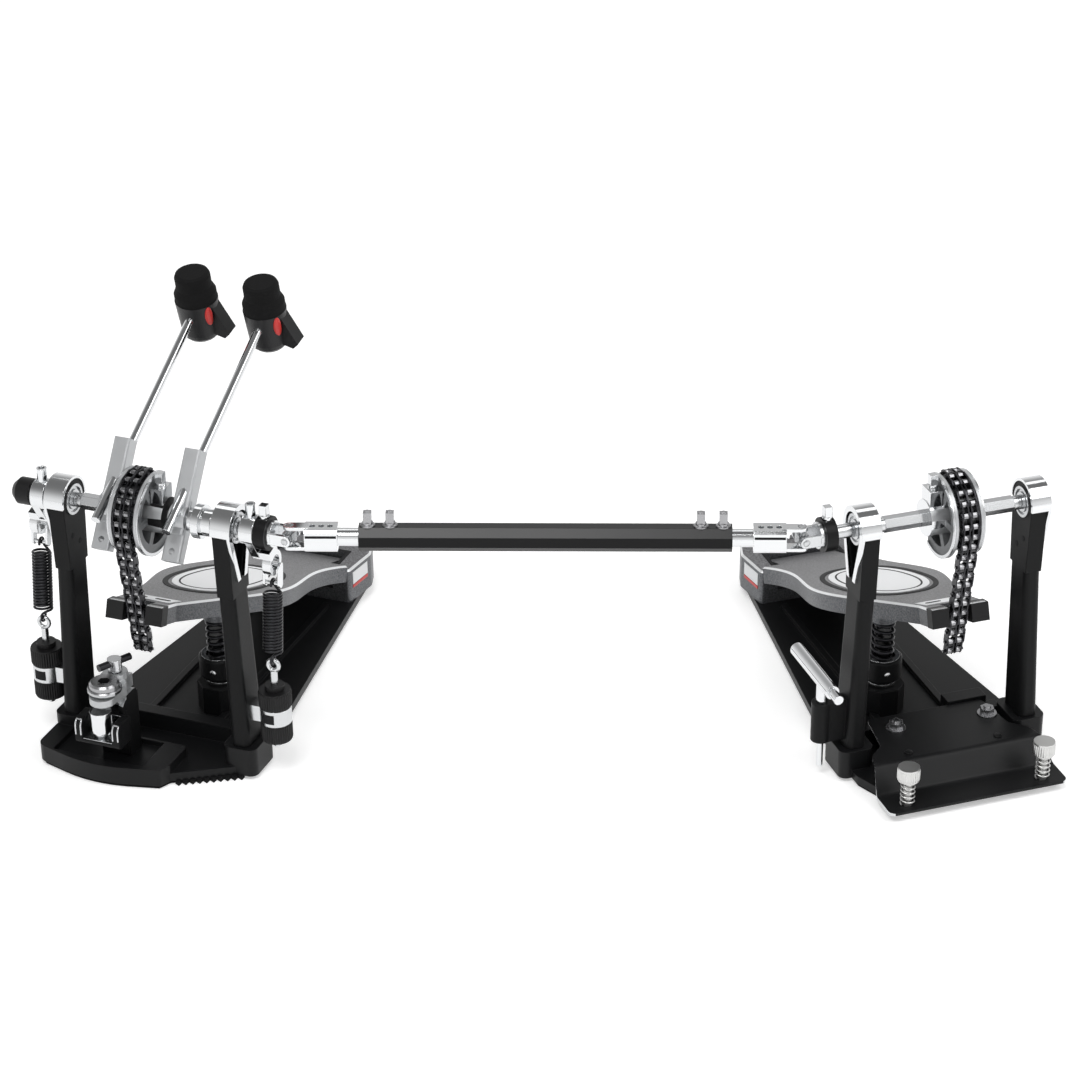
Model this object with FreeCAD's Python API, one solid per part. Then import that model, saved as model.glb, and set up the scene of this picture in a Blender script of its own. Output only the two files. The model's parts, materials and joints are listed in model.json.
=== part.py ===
"""Double bass drum pedal: a main pedal with two beaters, a connecting rod and a slave pedal.

Millimetres, Z up, floor at Z = 0. Each pedal is drawn in its own frame: x along the axle towards the other
pedal, y from toe to heel, z up, with the origin on the floor under the axle. The main pedal is then turned
toe-out about Z, and the slave pedal is its mirror image at the far end of the connecting rod.
"""
import FreeCAD, Part
import math
import os

V = FreeCAD.Vector

# Layout of the two pedals
TOE_OUT = 19.5
SPAN = 544.5
AXLE_Z = 190.0

# Fits
PRESS_GAP = 0.03
RUN_GAP = 0.07
SEAT_GAP = 0.3

# Base plate and sole
SOLE_T = 3.0
PLATE_T = 6.0
BASE_REAR_LIP = 7.0
BASE_REAR_HALF = 37.0
BASE_HALF = 71.0
BASE_SHOULDER_Y = 25.0
BASE_SIDE_FRONT_Y = -12.0
SLAVE_FRONT_Y = -48.0
SLAVE_FRONT_HALF = 60.0
SOLE_INSET = 2.0
TOOTH_COUNT = 10
TOOTH_OUT = 3.5
RIB_X = 27.0
RIB_W = 5.0
RIB_H = 3.0
RIB_REAR_GAP = 10.0
WALL_TOP = 22.0
WALL_Y = 15.0
WALL_T = 10.0

# Front foot of the main pedal
FOOT_TOP = 16.0
FOOT_BACK_Y = -13.0
FOOT_NOSE_Y = -60.0
FOOT_NOSE_X = -27.0
FOOT_OUTER_X = -76.0
FOOT_OUTER_Y = -45.0
FOOT_INNER_X = 21.0
FOOT_INNER_Y = -49.0
FOOT_HEEL_X = 25.0
FOOT_HEEL_Y = -40.0
FOOT_POCKET_DEPTH = 4.0

# Posts
POST_TOP_X = 62.0
POST_FOOT_X = 66.0
BOSS_TOP = 24.0
BOSS_W = 25.0
BOSS_D = 33.0
POST_FOOT_W = 14.0
POST_FOOT_D = 27.0
POST_NECK_W = 12.0
POST_NECK_D = 24.0
POST_NECK_Z = 140.0
POST_HEAD_R = 14.5
POST_POCKET = 5.0
POST_POCKET_R = 12.4
POST_POCKET_DROP = 38.0
POST_POCKET_TIP_R = 2.5
BEARING_R = 11.0
BEARING_W = 14.0
CAP_T = 2.0
CAP_LIP = 0.5
CAP_RIM = 2.2
CAP_SKIRT = 1.5

# Axles
AXLE_R = 5.0
HEX_FLATS = 10.0
HEX_OUTER_X = -48.0
HEX_INNER_X = 18.5
MAIN_AXLE_OUTER_X = -90.0
SLAVE_AXLE_OUTER_X = -74.5
SLAVE_HEX_INNER_X = 48.0
SPIGOT_R = 3.0
SPIGOT_L = 13.0
DRIVE_START_X = 19.3
DRIVE_DISCS = ((34.0, 38.5, 8.0), (38.5, 44.0, 12.0), (44.0, 52.0, 9.5))
END_CAP_R = 9.5
END_CAP_X = (-100.5, -86.4)

# Cam and chain
CHAIN_X = -3.0
PITCH = 8.0
PITCH_R = 29.0
STRAND = 6.4
ROLLER_R = 2.4
ROLLER_W = 3.2
PIN_R = 1.1
PIN_LEN = 15.2
LINK_H = 5.8
LINK_T = 0.9
WRAP_LINKS = 7
RUN_LINKS = 12
TOE_Y = -17.0
TOE_Z = 112.0
CAM_FLANGE_R = 29.6
CAM_FLANGE_T = 2.2
CAM_SIDE_GAP = 0.7
CAM_BACK_Y = 13.0
CAM_BOSS_R = 13.0
CAM_BOSS_W = 10.0
CAM_RIM = 4.0
CAM_SPOKES = 6
CAM_SPOKE_W = 5.0
CAM_FIRST_SPOKE = 30.0

# Beaters: the hub bar leans back from the vertical, the shaft leans further
HUB_X = 26.6
HUB_LEAN = 35.0
HUB_LOW = -31.0
HUB_HIGH = 47.0
HUB_W = 12.0
HUB_FOOT_W = 13.5
HUB_D = 13.0
HUB_FOOT_D = 9.5
HUB_WAIST = 12.0
SHAFT_LEAN = 61.0
SHAFT_R = 3.25
SHAFT_OFFSET = 11.0
SHAFT_LOW = -20.0
HEAD_AT = 168.5
HEAD_TILT = 17.0
HEAD_R = 15.5
HEAD_FOOT_R = 14.0
HEAD_BACK = -28.0
HEAD_SHOULDER = 6.0
FELT_R = 12.8
FELT_FRONT = 28.0
HEAD_BOWL = 9.0
FIN_TOP = 3.0
FIN_LOW = 18.0
FIN_REACH = 24.5
FIN_T = 11.0

# Rockers, tension springs and tensioners
ROCKER_X = (74.0, 84.0)
ROCKER_R = 11.0
ROCKER_ARM = 27.0
ROCKER_BACK = 15.0
SWIVEL_R = 9.0
SWIVEL_HOLE_R = 5.6
SWIVEL_T = 6.0
SPRING_X = 89.0
EYE_Z = 87.0
EYE_R = 4.0
EYE_WIRE_R = 1.5
SPRING_R = 6.2
SPRING_WIRE = 1.8
SPRING_PITCH = 2.3
SPRING_TURNS = 19
SPRING_LEAD = 5.0
SPRING_NECK = 1.8
HOOK_R = 2.8
HOOK_SEAT = 2.6
HOOK_LEAN = 1.25
LINK_PIN_R = 1.5
LINK_PLATE_T = 1.9
LINK_PLATE_W = 5.0
LINK_GAP = 9.2
EYEBOLT_R = 2.6
BRACKET_Z = (43.0, 55.0)
BRACKET_R = 11.0
KNOB_R = 11.0
KNOB_TOP = 72.0
LOW_KNOB_R = 10.5
LOW_KNOB_BOTTOM = 29.0

# Footboard, heel plate and coil
HINGE_Y = 238.0
HINGE_Z = 29.0
HINGE_PIN_R = 3.0
HINGE_PIN_HALF = 40.0
BOARD_ANGLE = 19.5
BOARD_LEN = 277.0
BOARD_TOP = 8.0
BOARD_T = 13.0
BOARD_SKIN = 4.0
BOARD_BEVEL = 1.4
BOARD_WALL = 4.5
BOARD_REAR = 17.0
BOARD_HEEL_HALF = 42.0
BOARD_WAIST_AT = 62.0
BOARD_WAIST_HALF = 36.0
BOARD_WIDE_AT = 140.0
BOARD_WIDE_HALF = 48.0
BOARD_NECK_AT = 205.0
BOARD_NECK_HALF = 33.5
BOARD_TOE_AT = 255.0
BOARD_TOE_HALF = 21.0
TONGUE_HALF = 26.5
TONGUE_BACK = 11.0
TOE_SLOT_GAP = 1.0
TOE_SLOT_BACK = 10.0
HEEL_FRONT = 12.0
HEEL_WIDE = 20.0
HEEL_TAIL = 19.0
HEEL_WIDE_HALF = 46.0
HEEL_REAR_HALF = 40.0
HEEL_TOP = 37.0
HEEL_NOTCH = 14.6
HEEL_NOTCH_FLOOR = 19.0
COMB_COUNT = 7
COMB_STEP = 9.0
COMB_W = 4.0
COMB_LEN = 9.0
COMB_DEPTH = 4.0
COIL_X = 17.0
COIL_Y = 57.0
COIL_R = 7.2
COIL_WIRE = 2.6
COIL_PITCH = 5.4
COIL_TURNS = 6
COIL_FLOOR = 46.0
CUP_R = 14.5
CUP_TOP = 52.0
CUP_SHOULDER = 34.0
CUP_BEVEL = 2.5
CUP_LIP = 1.2
CUP_NECK_R = 10.0
CUP_FOOT_R = 17.0
CUP_FOOT_TOP = 30.0
CUP_PIN_R = 4.5
CUP_PIN_TOP = 57.0
SEAT_R = 9.5

# Hoop clamp
CLAMP_X = (-31.0, -9.0)
CLAMP_BACK_Y = -17.0
CLAMP_FRONT_Y = -33.0
CLAMP_TOP = 61.0
CLAMP_DISC_Y = -42.0
CLAMP_DISC_R = 10.5
CLAMP_DISC_Z = (69.0, 76.0)
CLAMP_DISC_STEP = 2.6
CLAMP_DISC_LIP = 1.4
CLAMP_SOCKET_R = 4.4
CLAMP_ARM_HALF = 8.5
CHEEK_T = 3.5
CHEEK_FRONT_Y = -39.0
CHEEK_Z = (36.0, 58.0)
JAW_PIVOT_Y = -34.5
JAW_PIVOT_Z = 49.0
JAW_PIN_R = 2.0
JAW_EAR_R = 4.0
JAW_HALF = 17.0
JAW_Y = (-58.0, -40.0)
JAW_Z = (32.0, 51.0)
JAW_WALL = 5.5
JAW_FLOOR = 4.0
PLUNGER_R = 7.6
PLUNGER_TOP = 57.0
PLUNGER_Y = -50.5
WING_BOLT_Y = -26.0
WING_BOLT_LOW = 55.0
WING_BOLT_R = 3.5
WING_BAR_Z = 82.0
WING_BAR_R = 2.6
WING_BAR_LEN = 26.0
WING_BAR_TURN = 62.0

# Universal joints and connecting rod
JOINT_X = 107.0
YOKE_HUB_R = 8.5
YOKE_HUB_X = (84.6, 96.4)
PRONG_IN = 6.2
PRONG_OUT = 8.6
PRONG_R = 4.0
CROSS_R = 2.3
CROSS_HALF = 3.6
CROSS_SLACK = 0.6
COLLAR_R = 12.0
COLLAR_X = (85.0, 93.2)
YOKE_BASE = 10.4
BLOCK_END = 32.5
BLOCK_HALF = 8.0
SLIDE_R = 6.2
SLIDE_GAP = 0.09
TUBE_FLATS = 17.6
ROD_SHOWN = 14.1
MAIN_ROD_IN = 42.0
SLAVE_ROD_IN = 100.0
BOLT_SPACING = (6.0, 21.0)

# Slave front plate, spur bolts and tuning key
FRONT_T = 2.2
FRONT_FLANGE_Z = 6.0
FRONT_BEND_Y = (-38.0, -52.0)
FRONT_EDGE_Y = -76.0
FRONT_EDGE_HALF = 67.0
FRONT_REAR_HALF = 44.0
SPUR_X = 51.0
SPUR_Y = -67.0
SPUR_R = 3.2
SPUR_TOP = 38.0
SPUR_HEAD_R = 7.5
SPUR_HEAD_H = 10.0
SPUR_CONE = 6.0
SPUR_COIL_R = 4.7
SPUR_COIL_WIRE = 1.2
SPUR_COIL_TURNS = 5
KEY_X = 88.0
KEY_SHAFT_R = 2.3
KEY_LOW = 8.0
KEY_HEAD_Z = 76.0
KEY_HEAD_R = 5.0
KEY_HEAD_Y = (-18.0, 46.0)
KEY_TIP_Y = -29.0
KEY_TIP_R = 3.4
HOLDER_Z = (29.0, 59.0)
HOLDER_R = 7.0

# Key bolts: a small collar with a square driving head
BOLT_COLLAR_R = 3.6
BOLT_COLLAR_H = 2.6
BOLT_HEAD = 5.4
BOLT_HEAD_H = 7.5
SOCKET_HEAD_H = 10.0
SOCKET_R = 2.4
SOCKET_DEPTH = 3.0

# Values worked out from the sizes above
PLATE_TOP = SOLE_T + PLATE_T
HEEL_FRONT_Y = HINGE_Y - HEEL_FRONT
HEEL_WIDE_Y = HINGE_Y + HEEL_WIDE
HEEL_REAR_Y = HEEL_WIDE_Y + HEEL_TAIL
BASE_REAR_Y = HEEL_REAR_Y + BASE_REAR_LIP
RIB_REAR_Y = HEEL_FRONT_Y - RIB_REAR_GAP
TUBE_HALF = SPAN / 2 - JOINT_X * math.cos(math.radians(TOE_OUT)) - BLOCK_END - ROD_SHOWN
CHAIN_HALF = PIN_LEN / 2
CAM_FLOOR_R = PITCH_R * math.cos(math.asin(PITCH / 2 / PITCH_R)) - LINK_H / 2 - SEAT_GAP
CAM_INNER_HALF = CHAIN_HALF + CAM_SIDE_GAP
CAM_OUTER_HALF = CAM_INNER_HALF + CAM_FLANGE_T
CAM_BOSS_X = (CHAIN_X + CAM_OUTER_HALF, CHAIN_X + CAM_OUTER_HALF + CAM_BOSS_W)


def box(x, y, z):
    return Part.makeBox(x[1] - x[0], y[1] - y[0], z[1] - z[0], V(x[0], y[0], z[0]))


def bar(start, end, r):
    return Part.makeCylinder(r, (end - start).Length, start, end - start)


def disc(x, y, z, r):
    """Upright cylinder between the two heights in z."""
    return bar(V(x, y, z[0]), V(x, y, z[1]), r)


def along_x(x, y, z, r):
    """Cylinder along x between the two values in x."""
    return bar(V(x[0], y, z), V(x[1], y, z), r)


def fuse(first, *others):
    return first.fuse(list(others)).removeSplitter()


def ngon_x(x, y, z, radius, sides, turn=0.0):
    """Prism along x with a regular outline of the given corner radius."""
    points = []
    for i in range(sides + 1):
        a = math.radians(turn + 360.0 * i / sides)
        points.append(V(x[0], y + radius * math.cos(a), z + radius * math.sin(a)))
    return Part.Face(Part.makePolygon(points)).extrude(V(x[1] - x[0], 0, 0))


def outline(corners, z):
    """Closed wire at height z through (x, y, radius) corners, each rounded by a tangent arc."""
    count = len(corners)
    ends = []
    for i in range(count):
        p = V(corners[i][0], corners[i][1], z)
        before = V(corners[i - 1][0], corners[i - 1][1], z) - p
        after = V(corners[(i + 1) % count][0], corners[(i + 1) % count][1], z) - p
        before.normalize()
        after.normalize()
        half = before.getAngle(after) / 2
        reach = corners[i][2] / math.tan(half)
        bisector = before + after
        bisector.normalize()
        middle = p + bisector * (corners[i][2] / math.sin(half) - corners[i][2])
        ends.append((p + before * reach, middle, p + after * reach))
    edges = []
    for i in range(count):
        edges.append(Part.Arc(*ends[i]).toShape())
        edges.append(Part.LineSegment(ends[i][2], ends[(i + 1) % count][0]).toShape())
    return Part.Wire(edges)


def slab(corners, z):
    return Part.Face(outline(corners, z[0])).extrude(V(0, 0, z[1] - z[0]))


def rounded_rectangle(x, y, width, depth, r, z):
    hw, hd = width / 2, depth / 2
    return outline([(x + hw, y - hd, r), (x + hw, y + hd, r), (x - hw, y + hd, r), (x - hw, y - hd, r)], z)


def belt(x, first, r1, second, r2):
    """Plate along x: two round ends, given as (y, z), joined by their outer tangents."""
    c1, c2 = V(x[0], *first), V(x[0], *second)
    line = c2 - c1
    length = line.Length
    line.normalize()
    side = V(1, 0, 0).cross(line)
    lean = math.asin((r1 - r2) / length)
    left = line * math.sin(lean) + side * math.cos(lean)
    right = line * math.sin(lean) - side * math.cos(lean)
    edges = [
        Part.LineSegment(c1 + left * r1, c2 + left * r2).toShape(),
        Part.Arc(c2 + left * r2, c2 + line * r2, c2 + right * r2).toShape(),
        Part.LineSegment(c2 + right * r2, c1 + right * r1).toShape(),
        Part.Arc(c1 + right * r1, c1 - line * r1, c1 + left * r1).toShape(),
    ]
    return Part.Face(Part.Wire(edges)).extrude(V(x[1] - x[0], 0, 0))


def key_bolt(at):
    """Square-headed key bolt standing on a seat at the given point."""
    collar = disc(at.x, at.y, (at.z, at.z + BOLT_COLLAR_H), BOLT_COLLAR_R)
    half = BOLT_HEAD / 2
    top = at.z + BOLT_COLLAR_H + BOLT_HEAD_H
    head = box((at.x - half, at.x + half), (at.y - half, at.y + half), (at.z + BOLT_COLLAR_H, top))
    return fuse(collar, head)


def socket_bolt(at):
    """Round socket-headed screw standing on a seat at the given point."""
    top = at.z + SOCKET_HEAD_H
    head = disc(at.x, at.y, (at.z, top), BOLT_COLLAR_R)
    return head.cut(ngon_z(at.x, at.y, (top - SOCKET_DEPTH, top), SOCKET_R, 6))


def tilt(shape, degrees, y=0.0, z=AXLE_Z):
    """Copy of a shape turned about an axis along x; positive turns the top forward."""
    turned = shape.copy()
    turned.rotate(V(0, y, z), V(1, 0, 0), degrees)
    return turned


# Wound wire: arcs in pairs that keep the tangent, and one pipe along them

def tangent_arc(start, heading, end):
    chord = end - start
    axis = chord * (1.0 / chord.Length)
    lift = heading - axis * heading.dot(axis)
    lift.normalize()
    bend = heading.getAngle(axis)
    middle = start + chord * 0.5 + lift * (chord.Length / 2 * math.tan(bend / 2))
    return Part.Arc(start, middle, end).toShape()


def biarc(start, heading, end, arrival):
    """Two tangent arcs from start to end, leaving along heading and arriving along arrival."""
    span = end - start
    total = heading + arrival
    spread = 2 * (1 - heading.dot(arrival))
    along = span.dot(total)
    reach = (-along + math.sqrt(along * along + spread * span.dot(span))) / spread
    middle = (start + end + (heading - arrival) * reach) * 0.5
    first = tangent_arc(start, heading, middle)
    second = tangent_arc(end, arrival * -1.0, middle)
    return [first, Part.Arc(middle, second.valueAt(second.ParameterRange[1] / 2), end).toShape()]


def helix_point(centre, r, pitch, turn):
    a = 2 * math.pi * turn
    return centre + V(r * math.cos(a), r * math.sin(a), pitch * turn)


def helix_heading(r, pitch, turn):
    a = 2 * math.pi * turn
    heading = V(-r * math.sin(a), r * math.cos(a), pitch / (2 * math.pi))
    heading.normalize()
    return heading


def helix_edges(centre, r, pitch, turns):
    edges = []
    steps = int(round(turns * 2))
    for i in range(steps):
        t0, t1 = i / 2.0, (i + 1) / 2.0
        edges += biarc(helix_point(centre, r, pitch, t0), helix_heading(r, pitch, t0),
                       helix_point(centre, r, pitch, t1), helix_heading(r, pitch, t1))
    return edges


def straight(start, end):
    return Part.LineSegment(start, end).toShape()


def pipe(edges, wire):
    """One solid tube of the given wire diameter along the joined edges."""
    path = Part.Wire(edges)
    start = edges[0].valueAt(edges[0].FirstParameter)
    heading = edges[0].tangentAt(edges[0].FirstParameter)
    section = Part.Wire([Part.makeCircle(wire / 2, start, heading)])
    return path.makePipeShell([section], True, False)


def least_gap(centre, r, pitch, turns, wire):
    """Smallest clear distance between neighbouring turns, measured on points of the helix."""
    points = [helix_point(centre, r, pitch, i / 24.0) for i in range(int(turns * 24) + 1)]
    least = None
    for i in range(len(points)):
        for j in range(i + 12, min(i + 37, len(points))):
            apart = points[i].distanceToPoint(points[j]) - wire
            least = apart if least is None else min(least, apart)
    return least


# Base plate, sole and posts

def base_corners(slave):
    rear = [(BASE_REAR_HALF, BASE_REAR_Y, 10), (-BASE_REAR_HALF, BASE_REAR_Y, 10)]
    shoulder = (-BASE_HALF, BASE_SHOULDER_Y, 20)
    if slave:
        front = [(-BASE_HALF + 1, BASE_SIDE_FRONT_Y * 2, 10), (-SLAVE_FRONT_HALF, SLAVE_FRONT_Y, 8),
                 (SLAVE_FRONT_HALF, SLAVE_FRONT_Y, 8), (BASE_HALF - 1, BASE_SIDE_FRONT_Y * 2, 10)]
    else:
        front = foot_corners()[1:] + [(BASE_HALF, BASE_SIDE_FRONT_Y, 6)]
    return rear + [shoulder] + front + [(BASE_HALF, BASE_SHOULDER_Y, 20)]


def foot_corners():
    return [(FOOT_OUTER_X, FOOT_BACK_Y, 5), (FOOT_OUTER_X, FOOT_OUTER_Y, 8), (FOOT_NOSE_X, FOOT_NOSE_Y, 100),
            (FOOT_INNER_X, FOOT_INNER_Y, 3), (FOOT_HEEL_X, FOOT_HEEL_Y, 3)]


def base_plate(slave):
    plate = slab(base_corners(slave), (SOLE_T, PLATE_TOP))
    pieces = []
    for side in (-1, 1):
        boss = rounded_rectangle(side * POST_FOOT_X, 0, BOSS_W, BOSS_D, 6, SOLE_T)
        pieces.append(Part.Face(boss).extrude(V(0, 0, BOSS_TOP - SOLE_T)))
        rib = (side * RIB_X - RIB_W / 2, side * RIB_X + RIB_W / 2)
        pieces.append(box(rib, (WALL_Y, RIB_REAR_Y), (SOLE_T, PLATE_TOP + RIB_H)))
    wall_x = POST_FOOT_X - BOSS_W / 2 + 2
    pieces.append(box((-wall_x, wall_x), (WALL_Y - WALL_T / 2, WALL_Y + WALL_T / 2), (SOLE_T, WALL_TOP)))
    if slave:
        lug_y = WALL_Y + WALL_T / 2 + SEAT_GAP
        pieces.append(box((-RIB_X - 22, -RIB_X + 8), (lug_y, lug_y + 12), (SOLE_T, WALL_TOP + 4)))
        return fuse(plate, *pieces)
    corners = foot_corners()
    corners.append((FOOT_HEEL_X, FOOT_BACK_Y, 3))
    foot = slab(corners, (SOLE_T, FOOT_TOP))
    pocket_x = (FOOT_OUTER_X + 14, FOOT_INNER_X - 13)
    pocket = box(pocket_x, (FOOT_INNER_Y + 1, FOOT_BACK_Y - 2), (FOOT_TOP - FOOT_POCKET_DEPTH, FOOT_TOP + 1))
    return fuse(plate, foot, *pieces).cut(pocket)


def sole(slave):
    face = Part.Face(outline(base_corners(slave), 0)).makeOffset2D(-SOLE_INSET)
    pad = face.extrude(V(0, 0, SOLE_T))
    if slave:
        return pad
    start, end = V(FOOT_HEEL_X + 2, FOOT_HEEL_Y + 2, 0), V(BASE_HALF - 2, BASE_SIDE_FRONT_Y - 2, 0)
    line = end - start
    out = V(line.y, -line.x, 0)
    out.normalize()
    points = [start - out * (2 * SOLE_INSET + 2)]
    for i in range(TOOTH_COUNT):
        points.append(start + line * (i / TOOTH_COUNT))
        points.append(start + line * ((i + 0.5) / TOOTH_COUNT) + out * TOOTH_OUT)
    points += [end, end - out * (2 * SOLE_INSET + 2)]
    teeth = Part.Face(Part.makePolygon(points + [points[0]])).extrude(V(0, 0, SOLE_T))
    return fuse(pad, teeth)


def circle_tangent(point, centre, r, sign):
    """Tangent point on a circle, in (y, z), seen from a point outside it."""
    dy, dz = point[0] - centre[0], point[1] - centre[1]
    a = math.atan2(dz, dy) + sign * math.acos(r / math.hypot(dy, dz))
    return (centre[0] + r * math.cos(a), centre[1] + r * math.sin(a))


def post(side):
    """Tapered post whose head forks round the bearing; side is +1 for the inner post."""
    foot = rounded_rectangle(side * POST_FOOT_X, 0, POST_FOOT_W, POST_FOOT_D, POST_FOOT_W / 3, BOSS_TOP)
    neck = rounded_rectangle(side * POST_TOP_X, 0, POST_NECK_W, POST_NECK_D, POST_NECK_W / 3, POST_NECK_Z)
    trunk = Part.makeLoft([foot, neck], True, True)
    x0 = side * POST_TOP_X - POST_NECK_W / 2
    root = (POST_NECK_D / 2, POST_NECK_Z)
    touch = circle_tangent(root, (0, AXLE_Z), POST_HEAD_R, 1)
    edges = [
        straight(V(x0, -root[0], root[1]), V(x0, root[0], root[1])),
        straight(V(x0, root[0], root[1]), V(x0, touch[0], touch[1])),
        Part.Arc(V(x0, *touch), V(x0, 0, AXLE_Z + POST_HEAD_R), V(x0, -touch[0], touch[1])).toShape(),
        straight(V(x0, -touch[0], touch[1]), V(x0, -root[0], root[1])),
    ]
    head = Part.Face(Part.Wire(edges)).extrude(V(POST_NECK_W, 0, 0))
    away = side * (POST_TOP_X + POST_NECK_W / 2)
    pocket = teardrop(sorted((away - side * POST_POCKET, away + side * POST_POCKET)), 0)
    bore = along_x((x0 - 1, x0 + POST_NECK_W + 1), 0, AXLE_Z, BEARING_R)
    return fuse(trunk, head).cut(pocket).cut(bore)


def teardrop(x, wall):
    """Pocket outline of a post, grown by a wall: round about the axle, with its tip below."""
    tip = (0, AXLE_Z - POST_POCKET_DROP)
    return belt(x, (0, AXLE_Z), POST_POCKET_R + wall, tip, POST_POCKET_TIP_R + wall)


def bearing(side):
    x = (side * POST_TOP_X - BEARING_W / 2, side * POST_TOP_X + BEARING_W / 2)
    ring = along_x(x, 0, AXLE_Z, BEARING_R - PRESS_GAP).cut(along_x(x, 0, AXLE_Z, AXLE_R + RUN_GAP))
    for face in ((x[0], x[0] + 1.2), (x[1] - 1.2, x[1])):
        ring = ring.cut(along_x(face, 0, AXLE_Z, BEARING_R - 2).cut(along_x(face, 0, AXLE_Z, AXLE_R + 2)))
    return ring


def bearing_cap(side):
    """Arch over the post's head, with a rim that frames the pocket on the side away from the board."""
    half = POST_NECK_W / 2
    near, face, far = [side * (POST_TOP_X + d) for d in (-half - CAP_LIP, half, half + CAP_RIM)]
    x = sorted((near, far))
    inner = POST_HEAD_R + PRESS_GAP
    ring = along_x(x, 0, AXLE_Z, inner + CAP_T).cut(along_x(x, 0, AXLE_Z, inner))
    reach = inner + CAP_T + 1
    arch = ring.common(box(x, (-reach, reach), (AXLE_Z - CAP_SKIRT, AXLE_Z + reach)))
    rim_x = sorted((face, far))
    rim = teardrop(rim_x, inner + CAP_T - POST_POCKET_R).cut(teardrop(rim_x, 0))
    floor = AXLE_Z - POST_POCKET_DROP
    return fuse(arch, rim.common(box(rim_x, (-reach, reach), (floor, AXLE_Z + reach))))


# Heel plate, footboard, coil and cup

def heel_plate():
    corners = [(BOARD_HEEL_HALF, HEEL_FRONT_Y, 3), (HEEL_WIDE_HALF, HEEL_WIDE_Y, 8),
               (HEEL_REAR_HALF, HEEL_REAR_Y, 10)]
    corners += [(-x, y, r) for x, y, r in reversed(corners)]
    plate = slab(corners, (PLATE_TOP, HEEL_TOP))
    rim = [e for e in plate.Edges if min(v.Z for v in e.Vertexes) > HEEL_TOP - 0.01]
    plate = plate.makeChamfer(1.5, rim)
    half = TONGUE_HALF + 1.5
    notch = box((-half, half), (HEEL_FRONT_Y - 5, HINGE_Y + HEEL_NOTCH), (HEEL_NOTCH_FLOOR, HEEL_TOP + 1))
    pin_x = (-HINGE_PIN_HALF, HINGE_PIN_HALF)
    bore = along_x(pin_x, HINGE_Y, HINGE_Z, HINGE_PIN_R + PRESS_GAP)
    pin = along_x(pin_x, HINGE_Y, HINGE_Z, HINGE_PIN_R)
    plate = plate.cut(notch).cut(bore)
    for i in range(COMB_COUNT):
        x = COMB_STEP * (i - (COMB_COUNT - 1) / 2)
        plate = plate.cut(box((x - COMB_W / 2, x + COMB_W / 2), (HEEL_REAR_Y - COMB_LEN, HEEL_REAR_Y + 1),
                              (HEEL_TOP - COMB_DEPTH, HEEL_TOP + 1)))
    return Part.makeCompound([plate, pin])


def board_face(inset, z):
    """Footboard outline, flat, hinge axis at y = 0 and toe towards -y, drawn in by an inset."""
    side = [(BOARD_REAR + inset, BOARD_HEEL_HALF - inset), (BOARD_WAIST_AT, BOARD_WAIST_HALF - inset),
            (BOARD_WIDE_AT, BOARD_WIDE_HALF - inset), (BOARD_NECK_AT, BOARD_NECK_HALF - inset),
            (BOARD_TOE_AT, BOARD_TOE_HALF - inset)]
    toe = BOARD_LEN - inset
    edges = []
    for sign in (1, -1):
        points = [V(sign * half, -at, z) for at, half in side[:-1]]
        points.append(V(sign * side[-1][1] + CHAIN_X, -side[-1][0], z))
        curve = Part.BSplineCurve()
        curve.interpolate(points)
        edges.append(curve.toShape())
        edges.append(straight(points[-1], V(points[-1].x, -toe, z)))
    half_toe = side[-1][1]
    edges.append(straight(V(half_toe + CHAIN_X, -toe, z), V(-half_toe + CHAIN_X, -toe, z)))
    edges.append(straight(V(side[0][1], -side[0][0], z), V(-side[0][1], -side[0][0], z)))
    return Part.Face(Part.Wire(Part.__sortEdges__(edges)))


def board_point(at, up):
    """Pedal-frame (y, z) of a point on the board: distance from the hinge towards the toe, height."""
    a = math.radians(BOARD_ANGLE)
    return (HINGE_Y - at * math.cos(a) + up * math.sin(a), HINGE_Z + at * math.sin(a) + up * math.cos(a))


def coil_top():
    return COIL_FLOOR + COIL_WIRE + COIL_PITCH * COIL_TURNS


def footboard():
    low = BOARD_TOP - BOARD_T
    body = board_face(0, low).extrude(V(0, 0, BOARD_T - BOARD_BEVEL))
    rim = [board_face(0, BOARD_TOP - BOARD_BEVEL).OuterWire, board_face(BOARD_BEVEL, BOARD_TOP).OuterWire]
    body = fuse(body, Part.makeLoft(rim, True, True))
    pocket = board_face(BOARD_WALL, low - 1).extrude(V(0, 0, BOARD_T - BOARD_SKIN + 1))
    toe_web = BOARD_LEN - 2 * BOARD_WALL - TOE_SLOT_BACK
    pocket = pocket.common(box((-80, 80), (-toe_web, 0), (low - 2, BOARD_TOP)))
    tongue = box((-TONGUE_HALF, TONGUE_HALF), (-BOARD_REAR - 1, TONGUE_BACK), (low, BOARD_TOP - 0.8))
    board = fuse(body.cut(pocket), tongue)
    board = board.cut(along_x((-TONGUE_HALF - 1, TONGUE_HALF + 1), 0, 0, HINGE_PIN_R + RUN_GAP))
    board.translate(V(0, HINGE_Y, HINGE_Z))
    board = tilt(board, -BOARD_ANGLE, HINGE_Y, HINGE_Z)
    half = CHAIN_HALF + TOE_SLOT_GAP
    slot_x = (CHAIN_X - half, CHAIN_X + half)
    slot = box(slot_x, (TOE_Y - 60, TOE_Y + TOE_SLOT_BACK), (TOE_Z - 60, TOE_Z + 60))
    at = (HINGE_Y - COIL_Y) / math.cos(math.radians(BOARD_ANGLE))
    ceiling = board_point(at, BOARD_TOP - BOARD_SKIN / 2)[1]
    seat = disc(COIL_X, COIL_Y, (coil_top() + SEAT_GAP, ceiling), SEAT_R)
    return fuse(board.cut(slot), seat)


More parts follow.
